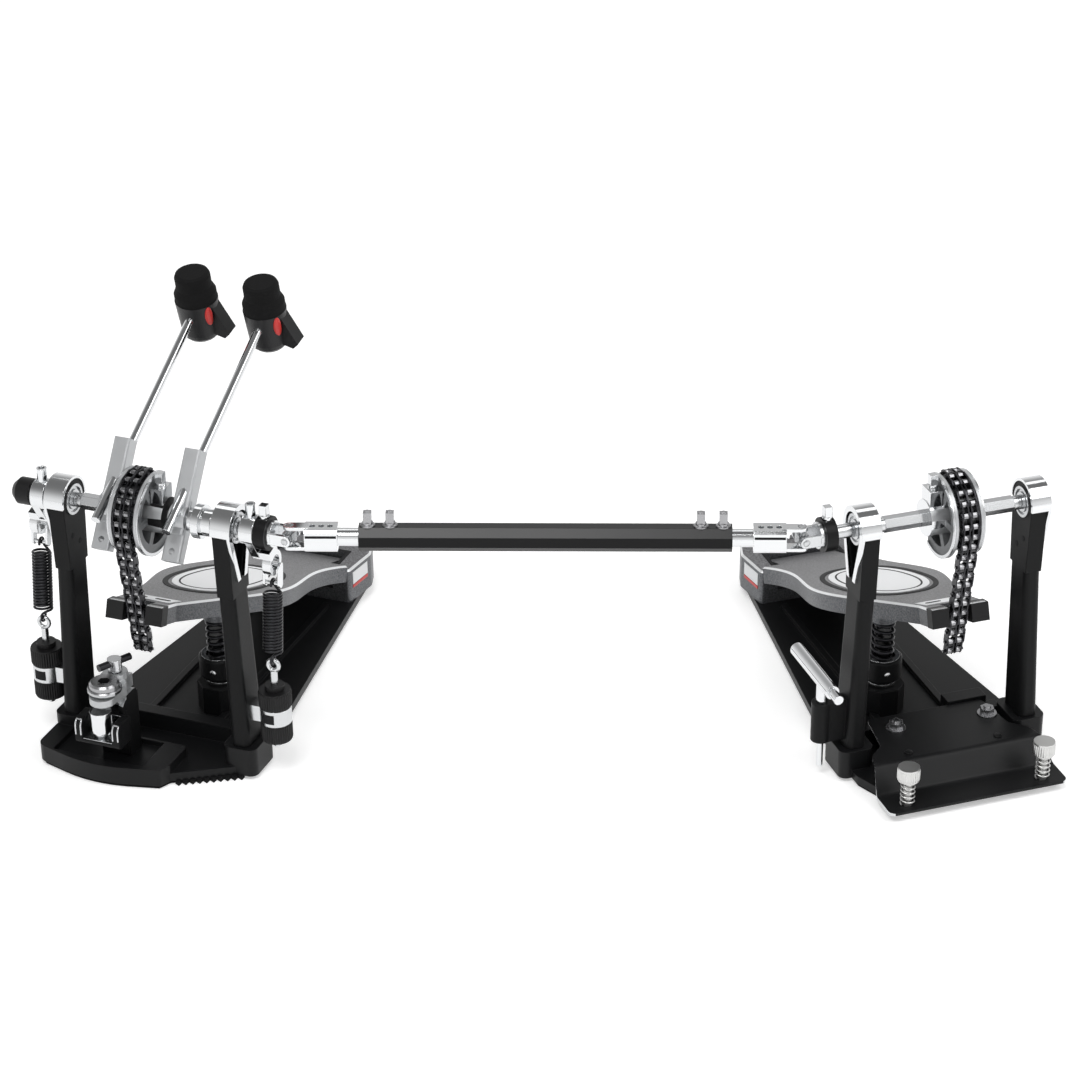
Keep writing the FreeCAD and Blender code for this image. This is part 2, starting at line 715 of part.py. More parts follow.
def board_coil():
    heading = helix_heading(COIL_R, COIL_PITCH, 0)
    tail = heading * (COIL_WIRE / 2)
    centre = V(COIL_X, COIL_Y, COIL_FLOOR + COIL_WIRE / 2 + tail.z)
    edges = helix_edges(centre, COIL_R, COIL_PITCH, COIL_TURNS)
    first = helix_point(centre, COIL_R, COIL_PITCH, 0)
    last = helix_point(centre, COIL_R, COIL_PITCH, COIL_TURNS)
    edges = [straight(first - tail, first)] + edges + [straight(last, last + tail)]
    return pipe(edges, COIL_WIRE)


def coil_cup():
    """Eight-sided foot, a neck, and a barrel with bevelled ends that holds the coil."""
    foot = ngon_z(COIL_X, COIL_Y, (PLATE_TOP, CUP_FOOT_TOP), CUP_FOOT_R, 8)
    neck = [(0, CUP_FOOT_TOP - 1), (CUP_NECK_R, CUP_FOOT_TOP - 1), (CUP_NECK_R, CUP_SHOULDER)]
    barrel = [(CUP_R - CUP_BEVEL, CUP_SHOULDER), (CUP_R, CUP_SHOULDER + CUP_BEVEL), (CUP_R, CUP_TOP - CUP_LIP),
              (CUP_R - CUP_LIP, CUP_TOP), (0, CUP_TOP)]
    cup = turned_z(COIL_X, COIL_Y, neck + barrel)
    bore_r = COIL_R + COIL_WIRE / 2 + SEAT_GAP
    cup = cup.cut(disc(COIL_X, COIL_Y, (COIL_FLOOR, CUP_TOP), bore_r))
    pin = disc(COIL_X, COIL_Y, (CUP_SHOULDER, CUP_PIN_TOP), CUP_PIN_R)
    body = fuse(foot, cup, pin)
    ribs = box((RIB_X - RIB_W / 2, RIB_X + RIB_W / 2), (WALL_Y, RIB_REAR_Y), (SOLE_T, PLATE_TOP + RIB_H))
    return body.cut(ribs)


def ngon_z(x, y, z, radius, sides):
    points = []
    for i in range(sides + 1):
        a = math.radians(360.0 * (i + 0.5) / sides)
        points.append(V(x + radius * math.cos(a), y + radius * math.sin(a), z[0]))
    return Part.Face(Part.makePolygon(points)).extrude(V(0, 0, z[1] - z[0]))


# Axles, cam and chain

def hex_radius(gap=0.0):
    return (HEX_FLATS / 2 + gap) / math.cos(math.radians(30))


def main_axle():
    shaft = along_x((MAIN_AXLE_OUTER_X, HEX_INNER_X), 0, AXLE_Z, AXLE_R)
    hexagon = ngon_x((HEX_OUTER_X, HEX_INNER_X), 0, AXLE_Z, hex_radius(), 6)
    spigot = along_x((HEX_INNER_X, HEX_INNER_X + SPIGOT_L), 0, AXLE_Z, SPIGOT_R)
    return fuse(shaft, hexagon, spigot)


def yoke_prong(sign):
    """One arm of the yoke on an axle, pierced for the cross; sign picks the front or the back one."""
    y = sorted((sign * PRONG_IN, sign * PRONG_OUT))
    arm = box((YOKE_HUB_X[1] - 3, JOINT_X), y, (AXLE_Z - PRONG_R, AXLE_Z + PRONG_R))
    tip = bar(V(JOINT_X, y[0], AXLE_Z), V(JOINT_X, y[1], AXLE_Z), PRONG_R)
    hole = bar(V(JOINT_X, y[0] - 1, AXLE_Z), V(JOINT_X, y[1] + 1, AXLE_Z), CROSS_R + RUN_GAP)
    return fuse(arm, tip).cut(hole)


def axle_yoke():
    hub = along_x(YOKE_HUB_X, 0, AXLE_Z, YOKE_HUB_R)
    shoulder = along_x((YOKE_HUB_X[1] - 3, YOKE_HUB_X[1]), 0, AXLE_Z, PRONG_OUT + 0.6)
    return fuse(hub, shoulder, yoke_prong(1), yoke_prong(-1))


def drive_shaft():
    shaft = along_x((DRIVE_START_X, YOKE_HUB_X[0] + 1), 0, AXLE_Z, AXLE_R)
    discs = [along_x((low, high), 0, AXLE_Z, r) for low, high, r in DRIVE_DISCS]
    bore = along_x((DRIVE_START_X - 1, HEX_INNER_X + SPIGOT_L + 1), 0, AXLE_Z, SPIGOT_R + RUN_GAP)
    return fuse(shaft, axle_yoke(), *discs).cut(bore)


def slave_axle():
    shaft = along_x((SLAVE_AXLE_OUTER_X, YOKE_HUB_X[0] + 1), 0, AXLE_Z, AXLE_R)
    hexagon = ngon_x((HEX_OUTER_X, SLAVE_HEX_INNER_X), 0, AXLE_Z, hex_radius(), 6)
    return fuse(shaft, hexagon, axle_yoke())


def axle_cap():
    face_x = END_CAP_X[1]
    drum = along_x((END_CAP_X[0] + 4, face_x), 0, AXLE_Z, END_CAP_R)
    dome = Part.makeCone(END_CAP_R * 0.62, END_CAP_R, 4, V(END_CAP_X[0], 0, AXLE_Z), V(1, 0, 0))
    socket = along_x((MAIN_AXLE_OUTER_X - PRESS_GAP, face_x), 0, AXLE_Z, AXLE_R + PRESS_GAP)
    return fuse(drum, dome).cut(socket)


def collar():
    ring = along_x(COLLAR_X, 0, AXLE_Z, COLLAR_R)
    ring = ring.cut(along_x(COLLAR_X, 0, AXLE_Z, YOKE_HUB_R + PRESS_GAP))
    middle = (COLLAR_X[0] + COLLAR_X[1]) / 2
    seat_z = AXLE_Z + COLLAR_R - 1.2
    half = BOLT_COLLAR_R + 0.4
    flat = box((middle - half, middle + half), (-half, half), (seat_z, AXLE_Z + COLLAR_R + 1))
    return Part.makeCompound([ring.cut(flat), key_bolt(V(middle, 0, seat_z))])


def cam_windows():
    """Openings between the spokes of the cam."""
    x = (CHAIN_X - CAM_OUTER_HALF, CHAIN_X + CAM_OUTER_HALF)
    outer = CAM_FLOOR_R - CAM_RIM
    ring = along_x(x, 0, AXLE_Z, outer).cut(along_x(x, 0, AXLE_Z, CAM_BOSS_R))
    for i in range(CAM_SPOKES):
        spoke = box(x, (-CAM_SPOKE_W / 2, CAM_SPOKE_W / 2), (AXLE_Z, AXLE_Z + outer + 1))
        ring = ring.cut(tilt(spoke, CAM_FIRST_SPOKE + 360.0 * i / CAM_SPOKES))
    return ring


def cam():
    drum = along_x((CHAIN_X - CAM_INNER_HALF, CHAIN_X + CAM_INNER_HALF), 0, AXLE_Z, CAM_FLOOR_R)
    wheel = [drum]
    for sign in (-1, 1):
        x = sorted((CHAIN_X + sign * CAM_INNER_HALF, CHAIN_X + sign * CAM_OUTER_HALF))
        wheel.append(along_x(x, 0, AXLE_Z, CAM_FLANGE_R))
    span = CAM_FLANGE_R + 1
    keep = box((CHAIN_X - CAM_OUTER_HALF, CHAIN_X + CAM_OUTER_HALF), (-span, CAM_BACK_Y),
               (AXLE_Z - span, AXLE_Z + span))
    sector = fuse(*wheel).common(keep).cut(cam_windows())
    boss = along_x(CAM_BOSS_X, 0, AXLE_Z, CAM_BOSS_R)
    lug_x = (CAM_BOSS_X[0] + 0.5, CAM_BOSS_X[1] - 0.5)
    lug_top = AXLE_Z + CAM_BOSS_R + 9
    lug = box(lug_x, (-7, 7), (AXLE_Z, lug_top))
    body = fuse(sector, boss, lug)
    body = body.cut(ngon_x((CHAIN_X - 40, CHAIN_X + 40), 0, AXLE_Z, hex_radius(PRESS_GAP), 6))
    return Part.makeCompound([body, key_bolt(V((lug_x[0] + lug_x[1]) / 2, 0, lug_top))])


def run_start():
    """Where the hanging run leaves the cam: the front tangent from the toe to the pitch circle."""
    return circle_tangent((TOE_Y, TOE_Z), (0, AXLE_Z), PITCH_R, -1)


def wrap_pins():
    """Pins on the cam, from the anchored end at the top down to the tangent point, as (y, z)."""
    start = run_start()
    a = math.atan2(start[1] - AXLE_Z, start[0])
    step = 2 * math.asin(PITCH / 2 / PITCH_R)
    pins = []
    for i in range(WRAP_LINKS, -1, -1):
        pins.append((PITCH_R * math.cos(a - i * step), AXLE_Z + PITCH_R * math.sin(a - i * step)))
    return pins


def run_pins():
    start = run_start()
    dy, dz = TOE_Y - start[0], TOE_Z - start[1]
    length = math.hypot(dy, dz)
    return [(start[0] + dy / length * PITCH * i, start[1] + dz / length * PITCH * i)
            for i in range(RUN_LINKS + 1)]


def link_plate(x, first, second):
    """Side plate of a link between two pins: straight flanks and three-sided round ends."""
    half = LINK_H / 2
    line = V(0, second[0] - first[0], second[1] - first[1])
    line.normalize()
    side = V(1, 0, 0).cross(line)
    points = []
    for centre, way in ((first, -1), (second, 1)):
        c = V(x[0], *centre)
        for degrees in (-90, -30, 30, 90):
            a = math.radians(degrees)
            points.append(c + line * (way * half * math.cos(a)) - side * (way * half * math.sin(a)))
    return Part.Face(Part.makePolygon(points + [points[0]])).extrude(V(x[1] - x[0], 0, 0))


def link_planes(outer):
    """Low x of each side plate of a duplex link."""
    inside = ROLLER_W / 2
    planes = []
    for strand in (-STRAND / 2, STRAND / 2):
        for way in (-1, 1):
            near = strand + way * (inside + (LINK_T if outer else 0))
            planes.append(min(near, near + way * LINK_T))
    return planes


def chain(pins, first_outer, bored):
    """Duplex roller chain along the pins; a bored chain leaves its first pin to the piece before it."""
    pieces = []
    for i, (y, z) in enumerate(pins):
        if bored and i == 0:
            continue
        pieces.append(ngon_x((CHAIN_X - CHAIN_HALF, CHAIN_X + CHAIN_HALF), y, z, PIN_R, 8))
        for strand in (-STRAND / 2, STRAND / 2):
            x = CHAIN_X + strand
            pieces.append(ngon_x((x - ROLLER_W / 2, x + ROLLER_W / 2), y, z, ROLLER_R, 8, 22.5))
    outer = first_outer
    for first, second in zip(pins, pins[1:]):
        for low in link_planes(outer):
            pieces.append(link_plate((CHAIN_X + low, CHAIN_X + low + LINK_T), first, second))
        outer = not outer
    body = fuse(*pieces)
    if bored:
        y, z = pins[0]
        body = body.cut(along_x((CHAIN_X - PIN_LEN, CHAIN_X + PIN_LEN), y, z, PIN_R + 2 * RUN_GAP))
    return body


# Beaters

def rounded_bar(x, width, depth, z):
    return Part.Face(rounded_rectangle(x, 0, width, depth, 1.5, z[0])).extrude(V(0, 0, z[1] - z[0]))


def beater_hub(x, bore):
    foot = rounded_bar(x, HUB_FOOT_W, HUB_FOOT_D, (AXLE_Z + HUB_LOW, AXLE_Z + HUB_WAIST))
    top = rounded_bar(x, HUB_W, HUB_D, (AXLE_Z - HUB_WAIST, AXLE_Z + HUB_HIGH))
    ring = along_x((x - HUB_W / 2, x + HUB_W / 2), 0, AXLE_Z, hex_radius() + 4)
    body = fuse(foot, top, ring)
    eye_z = AXLE_Z + HUB_LOW + 7
    body = body.cut(bar(V(x, -20, eye_z), V(x, 20, eye_z), 2.2))
    body = tilt(body, -HUB_LEAN)
    return body.cut(bore).cut(shaft_bar(x, SHAFT_R + RUN_GAP, SHAFT_LOW - 40, HEAD_AT))


def shaft_bar(x, r, low, high):
    shaft = bar(V(x, -SHAFT_OFFSET, AXLE_Z + low), V(x, -SHAFT_OFFSET, AXLE_Z + high), r)
    return tilt(shaft, -SHAFT_LEAN)


def beater_shaft(x):
    return shaft_bar(x, SHAFT_R, SHAFT_LOW, HEAD_AT + HEAD_R * 0.6)


def beater_head(x):
    """Barrel head with a stepped felt face in front and a fin on its side, drawn upright about its own axis."""
    centre = V(x, -SHAFT_OFFSET, AXLE_Z + HEAD_AT)

    def turned(profile):
        points = [centre + V(0, -w, r) for w, r in profile]
        face = Part.Face(Part.makePolygon(points + [points[0]]))
        return face.revolve(centre, V(0, 1, 0), 360)

    bowl = [(HEAD_BACK + HEAD_BOWL * (1 - math.cos(math.radians(a))), HEAD_FOOT_R * math.sin(math.radians(a)))
            for a in range(30, 91, 20)]
    barrel = turned([(HEAD_BACK, 0), (HEAD_BACK, bowl[0][1] - 2)] + bowl +
                    [(HEAD_SHOULDER, HEAD_R), (HEAD_SHOULDER, 0)])
    felt = turned([(HEAD_SHOULDER + PRESS_GAP, 0), (HEAD_SHOULDER + PRESS_GAP, HEAD_R - 0.4),
                   (HEAD_SHOULDER + 6, HEAD_R - 0.4), (HEAD_SHOULDER + 11, FELT_R),
                   (FELT_FRONT - 3, FELT_R), (FELT_FRONT - 0.9, FELT_R - 0.9), (FELT_FRONT, FELT_R - 3),
                   (FELT_FRONT, 0)])
    fin_points = [(-FIN_TOP, 0), (-FIN_TOP, HEAD_R - 1), (FIN_LOW, FIN_REACH), (FIN_LOW + 4, FIN_REACH - 4),
                  (FIN_LOW + 1, HEAD_FOOT_R - 3), (FIN_LOW + 1, 0)]
    fin_points = [V(r, y, -FIN_T / 2) for y, r in fin_points]
    fin = Part.Face(Part.makePolygon(fin_points + [fin_points[0]])).extrude(V(0, 0, FIN_T))
    fin.translate(centre)
    barrel = fuse(barrel, fin)
    head = [tilt(s, -HEAD_TILT, centre.y, centre.z) for s in (barrel, felt)]
    head = [tilt(s, -SHAFT_LEAN) for s in head]
    hole = shaft_bar(x, SHAFT_R + PRESS_GAP, SHAFT_LOW, HEAD_AT + HEAD_R * 0.6 + PRESS_GAP)
    return Part.makeCompound([s.cut(hole) for s in head])


# Rockers, springs and tensioners

def swivel():
    """Centre of the swivel eye on a rocker arm, as (y, z)."""
    a = math.radians(ROCKER_BACK)
    return (ROCKER_ARM * math.sin(a), AXLE_Z - ROCKER_ARM * math.cos(a))


def rocker(side):
    """Ring on the axle with an arm and a bridge that carry the swivel eye outside the arm."""
    x = sorted((side * ROCKER_X[0], side * ROCKER_X[1]))
    eye_x = (side * SPRING_X - SWIVEL_T / 2, side * SPRING_X + SWIVEL_T / 2)
    arm_x = sorted((side * (ROCKER_X[1] - 6), side * ROCKER_X[1]))
    bridge_x = (min(arm_x[0], eye_x[0]), max(arm_x[1], eye_x[1]))
    low = AXLE_Z - ROCKER_ARM
    knee = low + SWIVEL_R
    ring = along_x(x, 0, AXLE_Z, ROCKER_R)
    arm = belt(arm_x, (0, AXLE_Z), ROCKER_R, (0, knee), 6.0)
    bridge = box(bridge_x, (-6, 6), (knee - 2.5, knee + 3.5))
    eye = along_x(eye_x, 0, low, SWIVEL_R)
    body = fuse(ring, arm, bridge, eye).cut(along_x((eye_x[0] - 20, eye_x[1] + 20), 0, low, SWIVEL_HOLE_R))
    body = tilt(body, ROCKER_BACK)
    seat_z = AXLE_Z + ROCKER_R - 1
    bolt_x = side * (ROCKER_X[0] + ROCKER_X[1]) / 2
    half = BOLT_COLLAR_R + 0.4
    flat = box((bolt_x - half, bolt_x + half), (-half, half), (seat_z, AXLE_Z + ROCKER_R + 1))
    body = body.cut(flat).cut(along_x((x[0] - 20, x[1] + 20), 0, AXLE_Z, AXLE_R + PRESS_GAP))
    return Part.makeCompound([body, socket_bolt(V(bolt_x, 0, seat_z))])


def spring_pivot():
    """Height of the eyebolt wire that the spring hangs on."""
    return EYE_Z + EYE_R


def spring_lean():
    """Lean of the spring line, from the eyebolt to the swivel eye, in degrees."""
    y, z = swivel()
    return math.degrees(math.atan2(-y, z - spring_pivot())) - HOOK_LEAN


def hook_pin_at():
    """Distance from the spring pivot to the pin that sits in the swivel eye."""
    y, z = swivel()
    return math.hypot(y, z - spring_pivot()) - HOOK_SEAT


def coil_span():
    return SPRING_PITCH * SPRING_TURNS


def spring_pin_at():
    """Distance from the spring pivot to the link pin that the top of the spring hooks over."""
    return 2 * (SPRING_NECK + SPRING_LEAD) + coil_span()


def lean_spring(shape):
    return tilt(shape, spring_lean(), 0, spring_pivot())


def tension_spring(side):
    """One wire: hook round the eyebolt, coil, hook over the link pin."""
    base = V(side * SPRING_X, 0, spring_pivot())

    def at(x, y, z):
        return base + V(x, y, z)

    coil_base = SPRING_NECK + SPRING_LEAD
    top = spring_pin_at()
    up = V(0, 0, 1)
    start = at(0, HOOK_R, SPRING_WIRE)
    edges = [straight(start, at(0, HOOK_R, 0))]
    edges.append(Part.Arc(at(0, HOOK_R, 0), at(0, 0, -HOOK_R), at(0, -HOOK_R, 0)).toShape())
    edges.append(straight(at(0, -HOOK_R, 0), at(0, -HOOK_R, SPRING_NECK)))
    heading = helix_heading(SPRING_R, SPRING_PITCH, 0)
    edges += biarc(at(0, -HOOK_R, SPRING_NECK), up, at(SPRING_R, 0, coil_base), heading)
    edges += helix_edges(at(0, 0, coil_base), SPRING_R, SPRING_PITCH, SPRING_TURNS)
    edges += biarc(at(SPRING_R, 0, coil_base + coil_span()), heading, at(0, HOOK_R, top - SPRING_NECK), up)
    edges.append(straight(at(0, HOOK_R, top - SPRING_NECK), at(0, HOOK_R, top)))
    edges.append(Part.Arc(at(0, HOOK_R, top), at(0, 0, top + HOOK_R), at(0, -HOOK_R, top)).toShape())
    edges.append(straight(at(0, -HOOK_R, top), at(0, -HOOK_R, top - SPRING_WIRE)))
    return lean_spring(pipe(edges, SPRING_WIRE))


def spring_link(side):
    """Link between the swivel eye and the top of the spring: two side plates and two pins."""
    x0, z0 = side * SPRING_X, spring_pivot()
    pins = (spring_pin_at(), hook_pin_at())
    inner, outer = LINK_GAP / 2, LINK_GAP / 2 + LINK_PLATE_T
    pieces = []
    for way in (-1, 1):
        x = sorted((x0 + way * inner, x0 + way * outer))
        ends = [(0, z0 + at) for at in pins]
        pieces.append(belt(x, ends[0], LINK_PLATE_W / 2, ends[1], LINK_PLATE_W / 2))
    for at in pins:
        pieces.append(along_x((x0 - outer, x0 + outer), 0, z0 + at, LINK_PIN_R))
    return lean_spring(fuse(*pieces))


def tensioner(side):
    """Bracket on the post and the eyebolt it holds."""
    x0 = side * SPRING_X
    arm_x = sorted((side * POST_TOP_X, x0))
    plate = fuse(box(arm_x, (-6, 6), BRACKET_Z), disc(x0, 0, BRACKET_Z, BRACKET_R))
    plate = plate.cut(post(side)).cut(disc(x0, 0, BRACKET_Z, EYEBOLT_R + PRESS_GAP))
    plate = max(plate.Solids, key=lambda s: abs(s.CenterOfMass.x))
    stem = disc(x0, 0, (LOW_KNOB_BOTTOM - 6, EYE_Z - EYE_R), EYEBOLT_R)
    eye = Part.makeTorus(EYE_R, EYE_WIRE_R, V(x0, 0, EYE_Z), V(0, 1, 0))
    return [plate, fuse(stem, eye)]


def knobs(side):
    x0 = side * SPRING_X
    bore = disc(x0, 0, (0, AXLE_Z), EYEBOLT_R + RUN_GAP)
    upper = disc(x0, 0, (BRACKET_Z[1] + SEAT_GAP, KNOB_TOP - 4), KNOB_R)
    crown = disc(x0, 0, (KNOB_TOP - 4, KNOB_TOP), KNOB_R * 0.62)
    lower = disc(x0, 0, (LOW_KNOB_BOTTOM, BRACKET_Z[0] - SEAT_GAP), LOW_KNOB_R)
    return Part.makeCompound([fuse(upper, crown).cut(bore), lower.cut(bore)])


# Hoop clamp

def profile_x(corners, x):
    """Prism along x whose outline is given as (y, z, radius) corners."""
    solid = slab(corners, x)
    solid.rotate(V(0, 0, 0), V(1, 1, 1), 120)
    return solid


def clamp_middle():
    return (CLAMP_X[0] + CLAMP_X[1]) / 2


def clamp_body():
    """Tower with two cheeks for the jaw, and an arm that carries a round socket disc over it."""
    mid = clamp_middle()
    floor = FOOT_TOP - FOOT_POCKET_DEPTH
    tower = profile_x([(CLAMP_FRONT_Y, floor, 0.5), (CLAMP_BACK_Y, floor, 0.5), (CLAMP_BACK_Y, CLAMP_TOP, 6),
                       (CLAMP_FRONT_Y, CLAMP_TOP, 1)], CLAMP_X)
    pieces = []
    for x in ((CLAMP_X[0], CLAMP_X[0] + CHEEK_T), (CLAMP_X[1] - CHEEK_T, CLAMP_X[1])):
        pieces.append(profile_x([(CHEEK_FRONT_Y, CHEEK_Z[0], 4), (CLAMP_BACK_Y, CHEEK_Z[0], 0.5),
                                 (CLAMP_BACK_Y, CHEEK_Z[1], 0.5), (CHEEK_FRONT_Y, CHEEK_Z[1], 6)], x))
    arm_back = WING_BOLT_Y - WING_BOLT_R - 1
    arm_x = (mid - CLAMP_ARM_HALF, mid + CLAMP_ARM_HALF)
    arm_low, arm_top = CLAMP_TOP - 6, CLAMP_DISC_Z[0] + 2
    arm_front = CLAMP_DISC_Y - 3
    pieces.append(profile_x([(arm_back, arm_low, 0.5), (arm_back, arm_top, 0.5), (arm_front, arm_top, 0.5),
                             (arm_front, arm_top - 6, 2), (CHEEK_FRONT_Y + 2, arm_low, 2)], arm_x))
    pieces.append(socket_disc(mid))
    body = fuse(tower, *pieces)
    ear = ear_span(SEAT_GAP / 2)
    room = JAW_EAR_R + SEAT_GAP
    notch = along_x(ear, JAW_PIVOT_Y, JAW_PIVOT_Z, room)
    notch = notch.fuse(box(ear, (JAW_Y[0], JAW_PIVOT_Y), (JAW_PIVOT_Z - room, JAW_PIVOT_Z + room)))
    socket_z = (CLAMP_DISC_Z[1] - 5, CLAMP_DISC_Z[1])
    socket = ngon_z(mid, CLAMP_DISC_Y, socket_z, CLAMP_SOCKET_R, 6)
    thread = disc(mid, WING_BOLT_Y, (WING_BOLT_LOW - 1, CLAMP_TOP + 40), WING_BOLT_R + RUN_GAP)
    pin = along_x(CLAMP_X, JAW_PIVOT_Y, JAW_PIVOT_Z, JAW_PIN_R + RUN_GAP)
    return body.cut(notch).cut(socket).cut(thread).cut(pin)


def socket_disc(mid):
    """Round head in two steps, each with a bevelled top edge."""
    low, high = CLAMP_DISC_Z
    edge = CLAMP_DISC_LIP
    wide = CLAMP_DISC_R + edge
    step = low + CLAMP_DISC_STEP
    lower = [(0, low), (wide, low), (wide, step - edge / 2), (wide - edge / 2, step)]
    upper = [(CLAMP_DISC_R, step), (CLAMP_DISC_R, high - edge), (CLAMP_DISC_R - edge, high), (0, high)]
    return turned_z(mid, CLAMP_DISC_Y, lower + upper)


def turned_z(x, y, profile):
    """Round piece about an upright axis, from (radius, height) points that start and end on the axis."""
    points = [V(x + r, y, z) for r, z in profile]
    return Part.Face(Part.makePolygon(points + [points[0]])).revolve(V(x, y, 0), V(0, 0, 1), 360)


def ear_span(gap):
    """Width of the jaw's ear between the cheeks, widened by a gap on each side."""
    half = (CLAMP_X[1] - CLAMP_X[0]) / 2 - CHEEK_T - SEAT_GAP + gap
    return (clamp_middle() - half, clamp_middle() + half)


def clamp_jaw():
    """Open housing with an ear that turns on a pin between the cheeks, and a plunger with a round foot."""
    mid = clamp_middle()
    shell = profile_x([(JAW_Y[0], JAW_Z[0], 3), (JAW_Y[1], JAW_Z[0], 2), (JAW_Y[1], JAW_Z[1], 2),
                       (JAW_Y[0], JAW_Z[1], 6)], (mid - JAW_HALF, mid + JAW_HALF))
    back = JAW_Y[1] - JAW_FLOOR
    hollow = box((mid - JAW_HALF + JAW_WALL, mid + JAW_HALF - JAW_WALL), (JAW_Y[0] - 1, back),
                 (JAW_Z[0] + JAW_FLOOR, JAW_Z[1] + 1))
    ear_x = ear_span(0)
    ear = along_x(ear_x, JAW_PIVOT_Y, JAW_PIVOT_Z, JAW_EAR_R)
    neck = box(ear_x, (back, JAW_PIVOT_Y), (JAW_PIVOT_Z - JAW_EAR_R, JAW_PIVOT_Z + 1))
    pin = along_x(CLAMP_X, JAW_PIVOT_Y, JAW_PIVOT_Z, JAW_PIN_R)
    floor = JAW_Z[0] + JAW_FLOOR
    round_foot = [(PLUNGER_R * math.sin(math.radians(a)), floor + PLUNGER_R * (1 - math.cos(math.radians(a))))
                  for a in range(30, 91, 15)]
    plunger = turned_z(mid, PLUNGER_Y, [(0, floor), (PLUNGER_R * 0.4, floor)] + round_foot +
                       [(PLUNGER_R, PLUNGER_TOP), (0, PLUNGER_TOP)])
    return Part.makeCompound([fuse(shell.cut(hollow), neck, ear, pin), plunger])


def wing_bolt():
    mid = clamp_middle()
    stem = disc(mid, WING_BOLT_Y, (WING_BOLT_LOW, WING_BAR_Z), WING_BOLT_R)
    head = disc(mid, WING_BOLT_Y, (WING_BAR_Z - 6, WING_BAR_Z + 3), WING_BOLT_R + 1.5)
    turn = math.radians(WING_BAR_TURN)
    half = V(math.cos(turn), math.sin(turn), 0) * (WING_BAR_LEN / 2)
    middle = V(mid, WING_BOLT_Y, WING_BAR_Z)
    return fuse(stem, head, bar(middle - half, middle + half, WING_BAR_R))


# Universal joints and connecting rod

def joint_cross():
    c = V(JOINT_X, 0, AXLE_Z)
    h = CROSS_HALF
    block = box((c.x - h, c.x + h), (-h, h), (c.z - h, c.z + h))
    across = bar(c - V(0, PRONG_OUT, 0), c + V(0, PRONG_OUT, 0), CROSS_R)
    upright = bar(c - V(0, 0, PRONG_OUT), c + V(0, 0, PRONG_OUT), CROSS_R)
    return fuse(block, across, upright)


def joint_centre():
    """World position of the main universal joint."""
    a = math.radians(TOE_OUT)
    return V(JOINT_X * math.cos(a), -JOINT_X * math.sin(a), AXLE_Z)


def rod_yoke(inside):
    """Yoke, block and sliding rod at the main end; inside is how far the rod enters the tube."""
    c = joint_centre()
    block = box((c.x + YOKE_BASE, c.x + BLOCK_END), (c.y - BLOCK_HALF, c.y + BLOCK_HALF),
                (c.z - BLOCK_HALF, c.z + BLOCK_HALF))
    long_edges = [e for e in block.Edges if e.Length > BLOCK_END - YOKE_BASE - 0.1]
    block = block.makeChamfer(1.5, long_edges)
    for i in range(3):
        hole_x = c.x + YOKE_BASE + 5 + 6 * i
        block = block.cut(disc(hole_x, c.y, (c.z + BLOCK_HALF - 4, c.z + BLOCK_HALF), 2.0))
    pieces = [along_x((c.x + BLOCK_END, SPAN / 2 - TUBE_HALF + inside), c.y, c.z, SLIDE_R)]
    for sign in (-1, 1):
        z = sorted((c.z + sign * PRONG_IN, c.z + sign * PRONG_OUT))
        arm = box((c.x, c.x + YOKE_BASE + 3), (c.y - PRONG_R, c.y + PRONG_R), z)
        tip = disc(c.x, c.y, z, PRONG_R)
        pieces.append(fuse(arm, tip).cut(disc(c.x, c.y, z, CROSS_R + CROSS_SLACK)))
    return fuse(block, *pieces)


def rod_tube():
    c = joint_centre()
    x = (SPAN / 2 - TUBE_HALF, SPAN / 2 + TUBE_HALF)
    corner = TUBE_FLATS / 2 / math.cos(math.radians(22.5))
    return ngon_x(x, c.y, c.z, corner, 8, 22.5).cut(along_x(x, c.y, c.z, SLIDE_R + SLIDE_GAP))


def rod_bolts():
    c = joint_centre()
    bolts = []
    for sign in (-1, 1):
        for inset in BOLT_SPACING:
            bolts.append(key_bolt(V(SPAN / 2 + sign * (TUBE_HALF - inset), c.y, c.z + TUBE_FLATS / 2)))
    return Part.makeCompound(bolts)


# Slave front plate, spur bolts, tuning key

def front_plate():
    """Bent sheet bolted on the cross wall, with a low flange for the spur bolts."""
    high, low = WALL_TOP, FRONT_FLANGE_Z
    bend = math.atan2(high - low, FRONT_BEND_Y[0] - FRONT_BEND_Y[1])
    shift = FRONT_T * math.tan(bend / 2)
    rear = WALL_Y + WALL_T / 2
    section = profile_x([
        (rear, high, 0.5), (rear, high + FRONT_T, 0.5), (FRONT_BEND_Y[0], high + FRONT_T, 6),
        (FRONT_BEND_Y[1], low + FRONT_T, 4), (FRONT_EDGE_Y, low + FRONT_T, 0.5), (FRONT_EDGE_Y, low, 0.5),
        (FRONT_BEND_Y[1] + shift, low, 6), (FRONT_BEND_Y[0] + shift, high, 4)],
        (-FRONT_EDGE_HALF - 5, FRONT_EDGE_HALF + 5))
    side = [(FRONT_REAR_HALF, rear, 4), (FRONT_REAR_HALF + 5, -16, 8), (SLAVE_FRONT_HALF, -26, 8),
            (FRONT_EDGE_HALF, SLAVE_FRONT_Y - 4, 8), (FRONT_EDGE_HALF, FRONT_EDGE_Y, 5)]
    plan = slab(side + [(-x, y, r) for x, y, r in reversed(side)], (0, high + 10))
    sheet = section.common(plan)
    for sign in (-1, 1):
        sheet = sheet.cut(disc(sign * SPUR_X, SPUR_Y, (0, high), SPUR_R + RUN_GAP))
    return sheet


def spur_coil_pitch():
    room = SPUR_TOP - SPUR_HEAD_H - FRONT_FLANGE_Z - FRONT_T - SPUR_COIL_WIRE - 2 * SEAT_GAP
    return room / SPUR_COIL_TURNS


